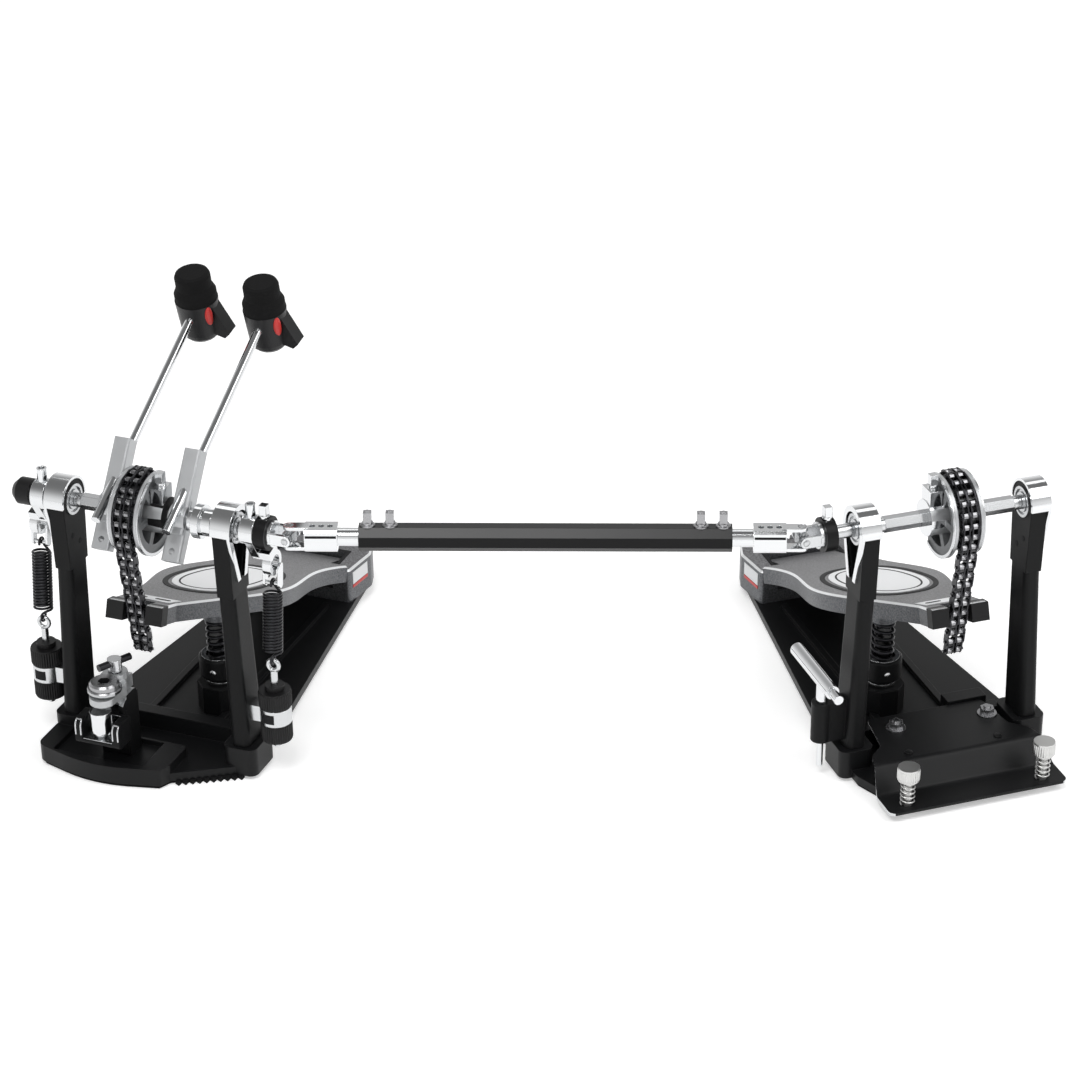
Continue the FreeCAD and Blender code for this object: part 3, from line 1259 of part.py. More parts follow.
def spur_bolt(x):
    """Pointed bolt with a knurled head, and the small spring between the head and the flange."""
    tip = Part.makeCone(0.6, SPUR_R, SPUR_CONE, V(x, SPUR_Y, 0))
    stem = disc(x, SPUR_Y, (SPUR_CONE, SPUR_TOP - SPUR_HEAD_H), SPUR_R)
    head = disc(x, SPUR_Y, (SPUR_TOP - SPUR_HEAD_H, SPUR_TOP), SPUR_HEAD_R)
    flange = FRONT_FLANGE_Z + FRONT_T + SEAT_GAP
    centre = V(x, SPUR_Y, flange + SPUR_COIL_WIRE / 2)
    pitch = spur_coil_pitch()
    coil = helix_edges(centre, SPUR_COIL_R, pitch, SPUR_COIL_TURNS)
    first = helix_point(centre, SPUR_COIL_R, pitch, 0)
    last = helix_point(centre, SPUR_COIL_R, pitch, SPUR_COIL_TURNS)
    flat = V(0, SPUR_COIL_WIRE, 0)
    coil = [straight(first - flat, first)] + coil + [straight(last, last + flat)]
    return Part.makeCompound([fuse(tip, stem, head), pipe(coil, SPUR_COIL_WIRE)])


def drum_key():
    """Hammer-shaped tuning key kept upright in the holder on the inner post."""
    shaft = disc(KEY_X, 0, (KEY_LOW, KEY_HEAD_Z), KEY_SHAFT_R)
    head = bar(V(KEY_X, KEY_HEAD_Y[0], KEY_HEAD_Z), V(KEY_X, KEY_HEAD_Y[1], KEY_HEAD_Z), KEY_HEAD_R)
    tip = bar(V(KEY_X, KEY_TIP_Y, KEY_HEAD_Z), V(KEY_X, KEY_HEAD_Y[0], KEY_HEAD_Z), KEY_TIP_R)
    neck = disc(KEY_X, 0, (HOLDER_Z[1] + SEAT_GAP, KEY_HEAD_Z), KEY_HEAD_R - 1)
    return fuse(shaft, head, tip, neck)


def key_holder():
    clip = disc(KEY_X, 0, HOLDER_Z, HOLDER_R)
    web = box((POST_TOP_X, KEY_X), (-HOLDER_R + 1, HOLDER_R - 1), HOLDER_Z)
    body = fuse(clip, web).cut(post(1)).cut(disc(KEY_X, 0, HOLDER_Z, KEY_SHAFT_R + RUN_GAP))
    return max(body.Solids, key=lambda s: s.CenterOfMass.x)


# Placing and export

def in_main(shape):
    placed = shape.copy()
    placed.rotate(V(0, 0, 0), V(0, 0, 1), -TOE_OUT)
    return placed


def in_slave(shape):
    placed = shape.mirror(V(0, 0, 0), V(1, 0, 0))
    placed.rotate(V(0, 0, 0), V(0, 0, 1), TOE_OUT)
    placed.translate(V(SPAN, 0, 0))
    return placed


def at_far_end(shape):
    return shape.mirror(V(SPAN / 2, 0, 0), V(1, 0, 0))


def pair(maker):
    return Part.makeCompound([maker(-1), maker(1)])


def shared_pieces(placed, prefix, slave):
    """Pieces both pedals have."""
    inner = post(1)
    if slave:
        inner = Part.makeCompound([inner, key_holder()])
    shapes = {
        "base_plate": base_plate(slave), "sole": sole(slave), "outer_post": post(-1), "inner_post": inner,
        "bearing_caps": pair(bearing_cap), "bearings": pair(bearing), "heel_plate": heel_plate(),
        "footboard": footboard(), "coil_cup": coil_cup(), "board_coil": board_coil(), "cam": cam(),
        "chain_wrap": chain(wrap_pins(), False, False), "chain_run": chain(run_pins(), True, True),
        "axle": slave_axle() if slave else main_axle(),
    }
    return {prefix + "_" + name: placed(shape) for name, shape in shapes.items()}


def main_pieces():
    hex_bore = ngon_x((-HUB_X - 20, HUB_X + 20), 0, AXLE_Z, hex_radius(PRESS_GAP), 6)
    round_bore = along_x((-HUB_X - 20, HUB_X + 20), 0, AXLE_Z, AXLE_R + PRESS_GAP)
    shapes = {
        "hoop_clamp_body": clamp_body(), "hoop_jaw": clamp_jaw(), "hoop_wing_bolt": wing_bolt(),
        "spring_tensioners": Part.makeCompound(tensioner(-1) + tensioner(1)),
        "outer_knobs": knobs(-1), "inner_knobs": knobs(1),
        "outer_spring": tension_spring(-1), "inner_spring": tension_spring(1),
        "outer_spring_hook": spring_link(-1), "inner_spring_hook": spring_link(1),
        "main_axle_cap": axle_cap(), "main_rocker": rocker(-1), "drive_rocker": rocker(1),
        "main_beater_hub": beater_hub(-HUB_X, hex_bore), "slave_beater_hub": beater_hub(HUB_X, round_bore),
        "main_beater_shaft": beater_shaft(-HUB_X), "slave_beater_shaft": beater_shaft(HUB_X),
        "main_beater_head": beater_head(-HUB_X), "slave_beater_head": beater_head(HUB_X),
        "drive_shaft": drive_shaft(), "drive_collar": collar(), "main_joint_cross": joint_cross(),
    }
    return {name: in_main(shape) for name, shape in shapes.items()}


def slave_pieces():
    shapes = {
        "slave_front_plate": front_plate(), "slave_collar": collar(), "slave_joint_cross": joint_cross(),
        "spur_bolt_left": spur_bolt(SPUR_X), "spur_bolt_right": spur_bolt(-SPUR_X), "drum_key": drum_key(),
    }
    return {name: in_slave(shape) for name, shape in shapes.items()}


def rod_pieces():
    return {
        "rod_main_yoke": rod_yoke(MAIN_ROD_IN), "rod_slave_yoke": at_far_end(rod_yoke(SLAVE_ROD_IN)),
        "rod_tube": rod_tube(), "rod_bolts": rod_bolts(),
    }


def export_all():
    pieces = shared_pieces(in_main, "main", False)
    pieces.update(shared_pieces(in_slave, "slave", True))
    pieces.update(main_pieces())
    pieces.update(slave_pieces())
    pieces.update(rod_pieces())
    os.makedirs("parts", exist_ok=True)
    for name in sorted(pieces):
        shape = pieces[name]
        print(name, "solids", len(shape.Solids), "valid", shape.isValid(), "volume", round(shape.Volume))
        shape.exportStep(os.path.join("parts", name + ".step"))
    print("pieces", len(pieces))


print("least gap in tension springs", least_gap(V(), SPRING_R, SPRING_PITCH, SPRING_TURNS, SPRING_WIRE))
print("least gap in board coils", least_gap(V(), COIL_R, COIL_PITCH, COIL_TURNS, COIL_WIRE))
SPUR_GAP = least_gap(V(), SPUR_COIL_R, spur_coil_pitch(), SPUR_COIL_TURNS, SPUR_COIL_WIRE)
print("least gap in spur coils", SPUR_GAP)
export_all()
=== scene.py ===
"""Looks for the double bass drum pedal: materials, light, camera and small dressing on the CAD frame."""
import json
import math

import bmesh
import bpy
from mathutils import Matrix, Vector

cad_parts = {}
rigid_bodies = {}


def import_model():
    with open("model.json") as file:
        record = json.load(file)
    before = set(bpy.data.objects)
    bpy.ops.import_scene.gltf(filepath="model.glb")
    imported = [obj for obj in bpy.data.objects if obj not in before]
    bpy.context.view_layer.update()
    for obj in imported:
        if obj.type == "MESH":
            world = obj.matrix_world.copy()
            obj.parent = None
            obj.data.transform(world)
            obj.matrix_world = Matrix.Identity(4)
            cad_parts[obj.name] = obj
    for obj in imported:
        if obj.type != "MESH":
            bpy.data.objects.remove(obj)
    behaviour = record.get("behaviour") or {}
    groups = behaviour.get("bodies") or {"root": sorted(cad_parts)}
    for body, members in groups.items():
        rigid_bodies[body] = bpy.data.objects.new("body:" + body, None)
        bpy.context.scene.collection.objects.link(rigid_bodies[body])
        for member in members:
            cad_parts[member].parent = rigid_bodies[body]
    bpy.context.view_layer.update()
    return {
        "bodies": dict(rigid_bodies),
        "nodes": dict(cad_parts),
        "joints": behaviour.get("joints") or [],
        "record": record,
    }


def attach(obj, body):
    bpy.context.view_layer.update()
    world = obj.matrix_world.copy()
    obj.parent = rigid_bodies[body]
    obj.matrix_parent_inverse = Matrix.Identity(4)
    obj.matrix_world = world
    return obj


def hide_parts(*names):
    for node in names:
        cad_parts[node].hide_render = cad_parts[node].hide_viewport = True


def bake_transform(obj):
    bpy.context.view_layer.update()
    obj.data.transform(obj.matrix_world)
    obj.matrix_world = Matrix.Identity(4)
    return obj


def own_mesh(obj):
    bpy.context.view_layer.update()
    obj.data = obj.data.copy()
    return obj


MM = 0.001
PER_METRE = 1000.0
UP = (0, 0, 1)

# Sizes that the dressing shares with the part's source, in millimetres and degrees.
# Each pedal has its own frame: x across, y towards the heel, z up, with the axle over the origin.

# Places of the two pedals
TOE_OUT = 19.5
SPAN = 544.5
AXLE_Z = 190.0

# Footboard, heel plate and posts
HINGE_Y = 238.0
HINGE_Z = 29.0
BOARD_ANGLE = 19.5
BOARD_TOP = 8.0
BOARD_T = 13.0
BOARD_LEN = 277.0
TOE_HALF = 21.0
SLOT_HALF = 8.6
HEEL_HALF = 42.0
HEEL_FRONT_Y = 226.0
HEEL_WIDE_HALF = 46.0
HEEL_WIDE_Y = 258.0
HEEL_TOP = 37.0
NOTCH_HALF = 28.0
NOTCH_Y = 252.6
POST_FACE = -56.0

# Cam and chain
CHAIN_X = -3.0
CHAIN_HALF = 7.6
STRAND = 6.4
ROLLER_W = 3.2
CAM_SIDE = 10.5
CAM_BOSS_R = 13.0
CAM_R = 29.6
CAM_BACK_Y = 13.0
CAM_WEB_R = 24.0

# Tension springs with their rockers, brackets and knobs
SPRING_X = 89.0
SPRING_PIVOT = 91.0
SPRING_R = 6.2
SPRING_WIRE = 1.8
SPRING_PITCH = 2.3
SPRING_TURNS = 19
SPRING_NECK = 1.8
SPRING_LEAD = 5.0
LEAD_EASE = 0.9
HOOK_R = 2.8
HOOK_LEAN = 1.25
ROCKER_ARM = 27.0
ROCKER_BACK = 15.0
BRACKET_R = 11.0
BRACKET_Z = (43.0, 55.0)
KNOB_R = 11.0
KNOB_TOP = 72.0
LOW_KNOB_R = 10.5
LOW_KNOB_BOTTOM = 29.0

# Coil under the board, and its cup
COIL_X = 17.0
COIL_Y = 57.0
COIL_FLOOR = 46.0
COIL_R = 7.2
COIL_WIRE = 2.6
COIL_PITCH = 5.4
COIL_TURNS = 6
COIL_SEAT = 0.15
CUP_R = 14.5
CUP_TOP = 52.0
CUP_LIP = 1.2
CUP_NECK_R = 10.0
CUP_FOOT_TOP = 30.0

# Beaters
HUB_X = 26.6
SHAFT_OFFSET = 11.0
SHAFT_LEAN = 61.0
HEAD_AT = 168.5
HEAD_TILT = 17.0
HEAD_R = 15.5
HEAD_SHOULDER = 6.0
HEADS = {"main": -HUB_X, "slave": HUB_X}

# Hoop clamp
CLAMP_MIDDLE = -20.0
CLAMP_HALF = 11.0
CLAMP_ARM_HALF = 8.6
CLAMP_ARM_Z = (55.0, 71.0)
JAW_Y = (-58.0, -40.0)
JAW_Z = (32.0, 51.0)
JAW_HALF = 17.0
JAW_WALL = 5.5
JAW_FLOOR = 4.0
JAW_ROUND = 6.0
PLUNGER_Y = -50.5
PLUNGER_R = 7.6
DISC_Y = -42.0
DISC_R = 11.9
DISC_Z = (69.0, 76.0)
DISC_SKIRT = 2.1
SOCKET_R = 4.4
WING_BOLT_Y = -26.0
WING_HEAD_R = 5.0

# Front plate and spurs of the slave pedal
FRONT_TOP = 24.2
SPUR_X = 51.0
SPUR_Y = -67.0
SPUR_TOP = 38.0
SPUR_HEAD_R = 7.5
SPUR_HEAD_H = 10.0

# Rod, universal joints and collars
JOINT_X = 107.0
ROD_X = JOINT_X * math.cos(math.radians(TOE_OUT))
ROD_Y = -JOINT_X * math.sin(math.radians(TOE_OUT))
PRONG_OUT = 8.6
YOKE_BASE = 10.4
BLOCK_END = 32.5
BLOCK_HALF = 8.0
ROD_SHOWN = 14.1
TUBE_FLATS = 17.6
BOLT_R = 3.6
BOLT_SPACING = (6.0, 21.0)
BOLT_TOP = 10.1
COLLAR_MIDDLE = 89.1
COLLAR_SEAT = AXLE_Z + 10.8

# Sizes of the dressing alone, in millimetres. A profile is a row of (distance along, radius).
NEAR = 0.05
CLEAR = 0.1
OVAL_AT = 143.0
OVAL_POWER = 2.3
OVAL_PLATE = (58.0, 29.0)
OVAL_PLATE_T = 0.5
# Half sizes outside and inside, height over the board, thickness
OVAL_LINES = (((66.0, 35.0), (61.0, 31.5), 0.0, 0.35), ((52.0, 24.5), (50.5, 23.2), 0.4, 0.25))
STRIP_AT = (247.0, 259.0)
STRIP_HALF = (20.0, 17.0)
STRIP_T = 0.5
TOE_SLOT_X = 9.0
TOE_SLOT_HALF = 5.0
TOE_SLOT_TIP = 6.0
TOE_SLOT_WIDE = 1.6
TOE_SLOT_UP = 0.42
TOE_SLOT_T = 0.2
PAD_DEPTH = 8.0
PAD_OUT = 0.4
PAD_OVER = 0.35
PAD_DROP = 0.6
MARKER_Y = (231.0, 252.0)
MARKER_Z = (23.0, 33.0)
MARKER_EDGE_Z = (20.0, 22.4)
MARKER_T = 0.4
# Band of painted shade round the hinge notch: its width, where it starts and its thickness
NOTCH_SHADE_BAND = 3.0
NOTCH_START = HEEL_FRONT_Y + 2.0
NOTCH_SHADE_T = 0.25
POST_HOLES = ((-5.0, AXLE_Z - 26.0), (4.0, AXLE_Z - 34.0))
POST_HOLE = ((-0.2, 2.0), (0.2, 2.0))
CAM_LIP = 2.4
CAM_LIP_OUT = 1.1
CAM_LIP_END = 1.0
CAM_LIP_STEPS = 60
KNURL_BEVEL = 0.8
UPPER_GRIP = (BRACKET_Z[1] + 0.5, KNOB_TOP - 4.5)
LOWER_GRIP = (LOW_KNOB_BOTTOM + 0.3, BRACKET_Z[0] - 0.6)
GRIP_OUT = 0.6
GRIP_TEETH = 40
GRIP_DEPTH = 0.5
WINDOW_ARC = (-118.0, -72.0)
WINDOW_Z = (BRACKET_Z[0] + 2.5, BRACKET_Z[1] - 2.5)
WINDOW_T = 0.25
CUP_GAP = 0.6
CUP_SEAT_T = 0.5
CUP_COLLAR_R = CUP_NECK_R + 0.5
CUP_COLLAR_Z = CUP_FOOT_TOP + 1.2
CUP_COLLAR_H = 1.4
CUP_SCREW_AT = (COIL_X + 2.0, COIL_Y - CUP_R, 43.0)
CUP_SCREW = ((-0.6, 2.3), (0.3, 2.3), (0.7, 1.7))
INSERT_AHEAD = -2.0
INSERT_ALONG = -8.3
INSERT_HALF = (7.5, 2.5)
INSERT_SUNK = 0.3
INSERT_SIDE = 13.0
INSERT_RISE = 1.3
INSERT_POINTS = 36
# Share of the outline's size and of the height, row by row
DOME_ROWS = ((1.0, 0.0), (0.97, 0.5), (0.8, 0.85), (0.5, 1.0))
FIN_OUT = 0.4
TRIM_R = 0.6
TRIM_IN = 0.8
TRIM_RISE = 7.0
TRIM_DROP = 1.0
TRIM_STEPS = 12
PAN_GAP = 0.4
PAN_BACK = 3.0
PAN_T = 0.6
CASTING_BACK = WING_BOLT_Y + 8.0
CASTING_WAIST = WING_BOLT_Y - 2.0
CASTING_SHOULDER = DISC_Y + 10.0
CASTING_NOSE = DISC_Y - 3.6
CASTING_WIDER = 0.4
CASTING_TOP = CLAMP_ARM_Z[1] + 0.2
CASTING_FALL = 5.0
NOSE_Z = 61.2
NOSE_R = 9.2
NOSE_STEPS = 16
BOLT_WAY = WING_HEAD_R - 0.4
BOSS_UP = 3.8
NUTS_AT = ((29.0, 3.0), (-40.0, 0.0))
NUT_R = 5.2
NUT_H = 4.2
NUT_WASHER_R = 7.02
NUT_WASHER_T = 0.9
THREAD_R = 2.86
THREAD_END_R = 2.6
THREAD_OUT = 1.3
RIVETS_AT = ((-34.0, -30.0), (34.0, -30.0))
RIVET = ((0.0, 3.2), (0.7, 2.9), (1.1, 1.6))
SPUR_GRIP = (SPUR_TOP - SPUR_HEAD_H + 0.4, SPUR_TOP - 1.2)
SPUR_GRIP_OUT = 0.45
SPUR_TEETH = 30
SPUR_TOOTH = 0.4
GROOVE_INSET = 0.6
GROOVE_OUT = 0.12
GROOVE_DEPTH = 0.4
GROOVE_Z = (AXLE_Z + 2.6, AXLE_Z + 4.4)
FLANGE = ((0.0, BOLT_R + 1.4), (0.8, BOLT_R + 1.4), (1.5, BOLT_R + 0.1))
BOLT_END = ((-0.3, 2.5), (0.5, 2.2), (0.9, 1.3))
PIN_END = ((0.03, 1.9), (0.4, 1.9), (0.7, 1.2))

# Angles under which an edge is shaded smooth, in degrees
SMOOTH = 40.0
SMOOTH_WIRE = 60.0
SMOOTH_CAST = 50.0
SMOOTH_KNURL = 25.0

# Values of the materials. Grain is (patches to the metre, detail), and bump (strength, millimetres).
EDGE_SAMPLES = 4
PATCH_DETAIL = 4.0
GRAIN_DETAIL = 3.0
TREAD_SLACK = 0.012
BEVEL_UP = 0.45
BEVEL_COLOUR = (0.85, 0.86, 0.87, 1)
TREAD_STOPS = (0.35, 0.7)
TREAD_BLUE = 1.05
SIDE_STOPS = ((0.3, (0.07, 0.073, 0.078, 1)), (0.75, (0.19, 0.195, 0.205, 1)))
SPECK_GRAIN = (900.0, 5.0)
SPECK_BUMP = (0.25, 0.8)
BOARD_METAL = 0.75
BOARD_ROUGH = 0.42
BARREL_COLOUR = (0.014, 0.014, 0.015, 1)
BARREL_ROUGH = 0.36
FELT_COLOUR = (0.003, 0.003, 0.0032, 1)
FELT_ROUGH = 0.95
HEAD_SPECULAR = 0.3
HEAD_GRAIN = (1400.0, 4.0)
HEAD_BUMP = (0.3, 0.6)
# A sheet's side edge: how level and how sideways its normal is
EDGE_LEVEL = 0.2
EDGE_SIDEWAYS = 0.3

# Camera and light, in metres
CAMERA_AT = (0.3247, -1.8118, 1.1247)
CAMERA_DOWN = 27.68
CAMERA_YAW = 0.006
LENS_MM = 100.0
SENSOR_MM = 36.0
SHIFT_X = -0.063
SHIFT_Y = -0.0061
WHITE = (1, 1, 1, 1)
AMBIENT = 0.4
CEILING = {"From_Min": 0.05, "From_Max": 0.9, "To_Min": 1.0, "To_Max": 0.2}
FLOOR_SIZE = 30.0
FLOOR_COLOUR = (0.85, 0.85, 0.85, 1)
FLOOR_ROUGH = 0.9
FLOOR_GLOW = {"From_Min": 0.9, "From_Max": 3.0, "To_Min": 0.42, "To_Max": 0.72}
# Name, place, target, size and power
LIGHTS = (
    ("key", (-0.25, -1.2, 2.3), (0.25, 0, 0.1), (1.3, 1.0), 28),
    ("fill", (1.8, -0.6, 1.8), (0.3, 0.05, 0.1), (1.4, 1.4), 18),
    ("rim", (0.3, 1.5, 2.4), (0.3, 0, 0.1), (2.2, 0.8), 8),
)

# Frames: millimetres to metres for the rod, and the frame of each pedal
WORLD = Matrix.Scale(MM, 4)
MAIN = WORLD @ Matrix.Rotation(math.radians(-TOE_OUT), 4, "Z")
MIRROR = Matrix.Scale(-1.0, 4, Vector((1, 0, 0)))
SLAVE = WORLD @ Matrix.Translation((SPAN, 0, 0)) @ Matrix.Rotation(math.radians(TOE_OUT), 4, "Z") @ MIRROR


# Shader nodes

MATH = "ShaderNodeMath"
VECTOR_MATH = "ShaderNodeVectorMath"
MIX_COLOUR_A = 6
MIX_COLOUR_B = 7
MIX_COLOUR_OUT = 2


def new_material(name):
    """New finish, with its node tree and its shader."""
    mat = bpy.data.materials.new(name)
    mat.use_nodes = True
    tree = mat.node_tree
    return mat, tree, tree.nodes["Principled BSDF"]


def feed(tree, socket, value):
    """Links a socket to another one, or sets it to a plain value."""
    if isinstance(value, bpy.types.NodeSocket):
        tree.links.new(value, socket)
    else:
        socket.default_value = value


def feed_named(tree, made, **sockets):
    """Feeds the named sockets of a node; an underscore stands for a space."""
    for key, value in sockets.items():
        feed(tree, made.inputs[key.replace("_", " ")], value)


def node(tree, kind, **sockets):
    """New node with its named sockets fed."""
    made = tree.nodes.new(kind)
    feed_named(tree, made, **sockets)
    return made


def operate(tree, kind, operation, *values):
    """New math node, fed in order."""
    made = tree.nodes.new(kind)
    made.operation = operation
    for socket, value in zip(made.inputs, values):
        feed(tree, socket, value)
    return made


def object_point(tree):
    """Socket with the shaded point in the piece's own frame."""
    return tree.nodes.new("ShaderNodeTexCoord").outputs["Object"]


def noise(tree, per_metre, detail):
    """Socket with noise of so many patches to the metre."""
    made = node(tree, "ShaderNodeTexNoise", Scale=per_metre, Detail=detail, Vector=object_point(tree))
    return made.outputs["Fac"]


def bumped(tree, height, strength, distance, **sockets):
    """Normal with a bump from a height socket, over a distance in millimetres."""
    made = node(tree, "ShaderNodeBump", Strength=strength, Distance=distance * MM, Height=height, **sockets)
    return made.outputs["Normal"]


def spread_between(tree, value, low, high):
    """Socket that runs from low to high as the value runs from 0 to 1."""
    return node(tree, "ShaderNodeMapRange", Value=value, To_Min=low, To_Max=high).outputs["Result"]


def soft_edge(tree, radius):
    """Normal that rounds sharp edges over a radius in millimetres."""
    rounded = node(tree, "ShaderNodeBevel", Radius=radius * MM)
    rounded.samples = EDGE_SAMPLES
    return rounded.outputs["Normal"]


def mix_colour(tree, factor, first, second):
    """Socket that shows first where factor is 0 and second where it is 1; each is a socket or a colour."""
    mix = tree.nodes.new("ShaderNodeMix")
    mix.data_type = "RGBA"
    feed(tree, mix.inputs["Factor"], factor)
    feed(tree, mix.inputs[MIX_COLOUR_A], first)
    feed(tree, mix.inputs[MIX_COLOUR_B], second)
    return mix.outputs[MIX_COLOUR_OUT]


def colour_ramp(tree, value, stops):
    """Colour that runs between two stops, each a position and a colour."""
    made = node(tree, "ShaderNodeValToRGB", Fac=value)
    for element, (position, colour) in zip(made.color_ramp.elements, stops):
        element.position = position
        element.color = colour
    return made.outputs["Color"]


def mirror_ray(tree, seen):
    """Socket that is 1 for rays that come from a mirror or pass through glass."""
    kinds = [seen.outputs[name] for name in ("Is Glossy Ray", "Is Transmission Ray")]
    return operate(tree, MATH, "MAXIMUM", *kinds).outputs[0]


# Finishes

def finish_material(name, colour, metallic, rough, spread=0.04, patch=30.0, bump=None, edge=0.5,
                    specular=0.5):
    """Plain finish: a colour, roughness in patches, soft edges and a (size, strength) grain."""
    mat, tree, shader = new_material(name)
    patches = noise(tree, PER_METRE / patch, PATCH_DETAIL)
    normal = soft_edge(tree, edge)
    if bump:
        size, strength = bump
        fine = noise(tree, PER_METRE / size, GRAIN_DETAIL)
        normal = bumped(tree, fine, strength, size, Normal=normal)
    feed_named(tree, shader, Base_Color=(*colour, 1.0), Metallic=metallic, Specular_IOR_Level=specular,
               Roughness=spread_between(tree, patches, rough - spread, rough + spread), Normal=normal)
    return mat


def board_material(name, slope, low, high):
    """Dark speckled tread on the face of a slope in degrees, bright bevel round it and cast grey sides."""
    mat, tree, shader = new_material(name)
    where = tree.nodes.new("ShaderNodeTexCoord")
    up = node(tree, "ShaderNodeSeparateXYZ", Vector=where.outputs["Normal"]).outputs["Z"]
    level = math.cos(math.radians(slope))
    tread = operate(tree, MATH, "COMPARE", up, level, TREAD_SLACK).outputs[0]
    bevel = operate(tree, MATH, "GREATER_THAN", up, BEVEL_UP).outputs[0]
    speck = noise(tree, *SPECK_GRAIN)
    greys = [(grey, grey, grey * TREAD_BLUE, 1) for grey in (low, high)]
    dark = colour_ramp(tree, speck, zip(TREAD_STOPS, greys))
    rim = mix_colour(tree, bevel, colour_ramp(tree, speck, SIDE_STOPS), BEVEL_COLOUR)
    metal = operate(tree, MATH, "SUBTRACT", BOARD_METAL, tread).outputs[0]
    feed_named(tree, shader, Base_Color=mix_colour(tree, tread, rim, dark),
               Metallic=node(tree, "ShaderNodeClamp", Value=metal).outputs[0], Roughness=BOARD_ROUGH,
               Normal=bumped(tree, speck, *SPECK_BUMP))
    return mat


def head_point(x, ahead, along, side=0.0):
    """Point on a beater head, in the pedal frame: ahead of its centre, along its wing, and sideways."""
    turn = Matrix.Rotation(math.radians(-HEAD_TILT - SHAFT_LEAN), 4, "X")
    lean = Matrix.Rotation(math.radians(-SHAFT_LEAN), 4, "X")
    centre = lean @ Vector((0, -SHAFT_OFFSET, HEAD_AT)) + Vector((x, 0, AXLE_Z))
    return centre + turn @ Vector((side, -ahead, along))


def head_material(name, x):
    """Black barrel, with felt ahead of the shoulder."""
    mat, tree, shader = new_material(name)
    start = MAIN @ head_point(x, HEAD_SHOULDER, 0)
    axis = (MAIN @ head_point(x, HEAD_SHOULDER + 1, 0) - start).normalized()
    away = operate(tree, VECTOR_MATH, "SUBTRACT", object_point(tree), start).outputs[0]
    ahead = operate(tree, VECTOR_MATH, "DOT_PRODUCT", away, axis).outputs["Value"]
    felt = operate(tree, MATH, "GREATER_THAN", ahead, 0.0).outputs[0]
    feed_named(tree, shader, Base_Color=mix_colour(tree, felt, BARREL_COLOUR, FELT_COLOUR),
               Roughness=spread_between(tree, felt, BARREL_ROUGH, FELT_ROUGH),
               Specular_IOR_Level=HEAD_SPECULAR, Normal=bumped(tree, noise(tree, *HEAD_GRAIN), *HEAD_BUMP))
    return mat


COAT = finish_material("black_coat", (0.006, 0.0062, 0.0066), 0.0, 0.44, spread=0.06, patch=40.0,
                       bump=(0.8, 0.1), edge=1.2, specular=0.14)
SHEET = finish_material("black_sheet", (0.0065, 0.0067, 0.0072), 0.0, 0.4, spread=0.05, patch=60.0,
                        bump=(0.7, 0.05), edge=0.8, specular=0.2)
GLOSS = finish_material("black_gloss", (0.008, 0.008, 0.0085), 0.0, 0.34, spread=0.03, patch=60.0,
                        edge=0.6, specular=0.15)
# Lit copy of black_gloss, with stronger specular and a slightly lighter colour: painted sheen on the rod
# tube's upper flats.
TUBE_SHEEN = finish_material("black_gloss_painted_sheen", (0.009, 0.009, 0.0095), 0.0, 0.3, spread=0.03, patch=60.0,
                         edge=0.6, specular=0.38)
CHROME = finish_material("chrome", (0.72, 0.73, 0.74), 1.0, 0.1, spread=0.03, patch=25.0)
SATIN = finish_material("satin_chrome", (0.6, 0.61, 0.62), 1.0, 0.24, patch=12.0)
STEEL = finish_material("steel", (0.55, 0.56, 0.57), 1.0, 0.26, spread=0.05, patch=12.0, edge=0.3)
BOLT = finish_material("bolt_steel", (0.36, 0.36, 0.37), 1.0, 0.28, spread=0.05, patch=5.0, edge=0.3)
CAST = finish_material("cast_silver", (0.5, 0.51, 0.52), 0.7, 0.36, spread=0.06, patch=15.0,
                       bump=(0.6, 0.1))
# Darker copy of the cast silver: painted shade on the cam's sides and window walls, for a recessed web.
WEB_SHADE = finish_material("cast_grey", (0.17, 0.175, 0.18), 0.6, 0.45, spread=0.06, patch=15.0,
                      bump=(0.8, 0.2))
ZINC = finish_material("zinc", (0.62, 0.62, 0.61), 0.95, 0.3, spread=0.05, patch=5.0, edge=0.3)
CHAIN = finish_material("chain", (0.04, 0.04, 0.044), 0.95, 0.27, spread=0.06, patch=6.0, edge=0.25)
ROLLER = finish_material("chain_roller", (0.29, 0.29, 0.3), 1.0, 0.22, patch=4.0, edge=0.25)
WIRE = finish_material("dark_wire", (0.03, 0.03, 0.033), 0.85, 0.33, spread=0.05, patch=6.0, edge=0.1)
RUBBER = finish_material("rubber", (0.008, 0.008, 0.0085), 0.0, 0.8, spread=0.05, patch=20.0,
                         bump=(1.2, 0.3), edge=0.3, specular=0.15)
KNURL = finish_material("knurled_black", (0.007, 0.007, 0.0075), 0.0, 0.45, spread=0.05, patch=6.0,
                        edge=0.2, specular=0.25)
PALE = finish_material("pale_plate", (0.8, 0.81, 0.82), 0.15, 0.36, patch=20.0, edge=0.2)
# Near black for printed lines and the screw behind the bracket windows, and painted shade in the toe slots,
# post holes, yoke grooves, hinge gap and clamp socket.
DARK_PRINT_AND_SHADE = finish_material("dark_print_and_painted_shade", (0.012, 0.012, 0.013), 0.0, 0.6, spread=0.05, patch=20.0, edge=0.1,
                       specular=0.15)
RED = finish_material("red_insert", (0.62, 0.035, 0.03), 0.0, 0.32, patch=15.0, edge=0.2)
BOARD = board_material("footboard", BOARD_ANGLE, 0.05, 0.2)
HEEL = board_material("heel", 0.0, 0.045, 0.23)


# Meshes

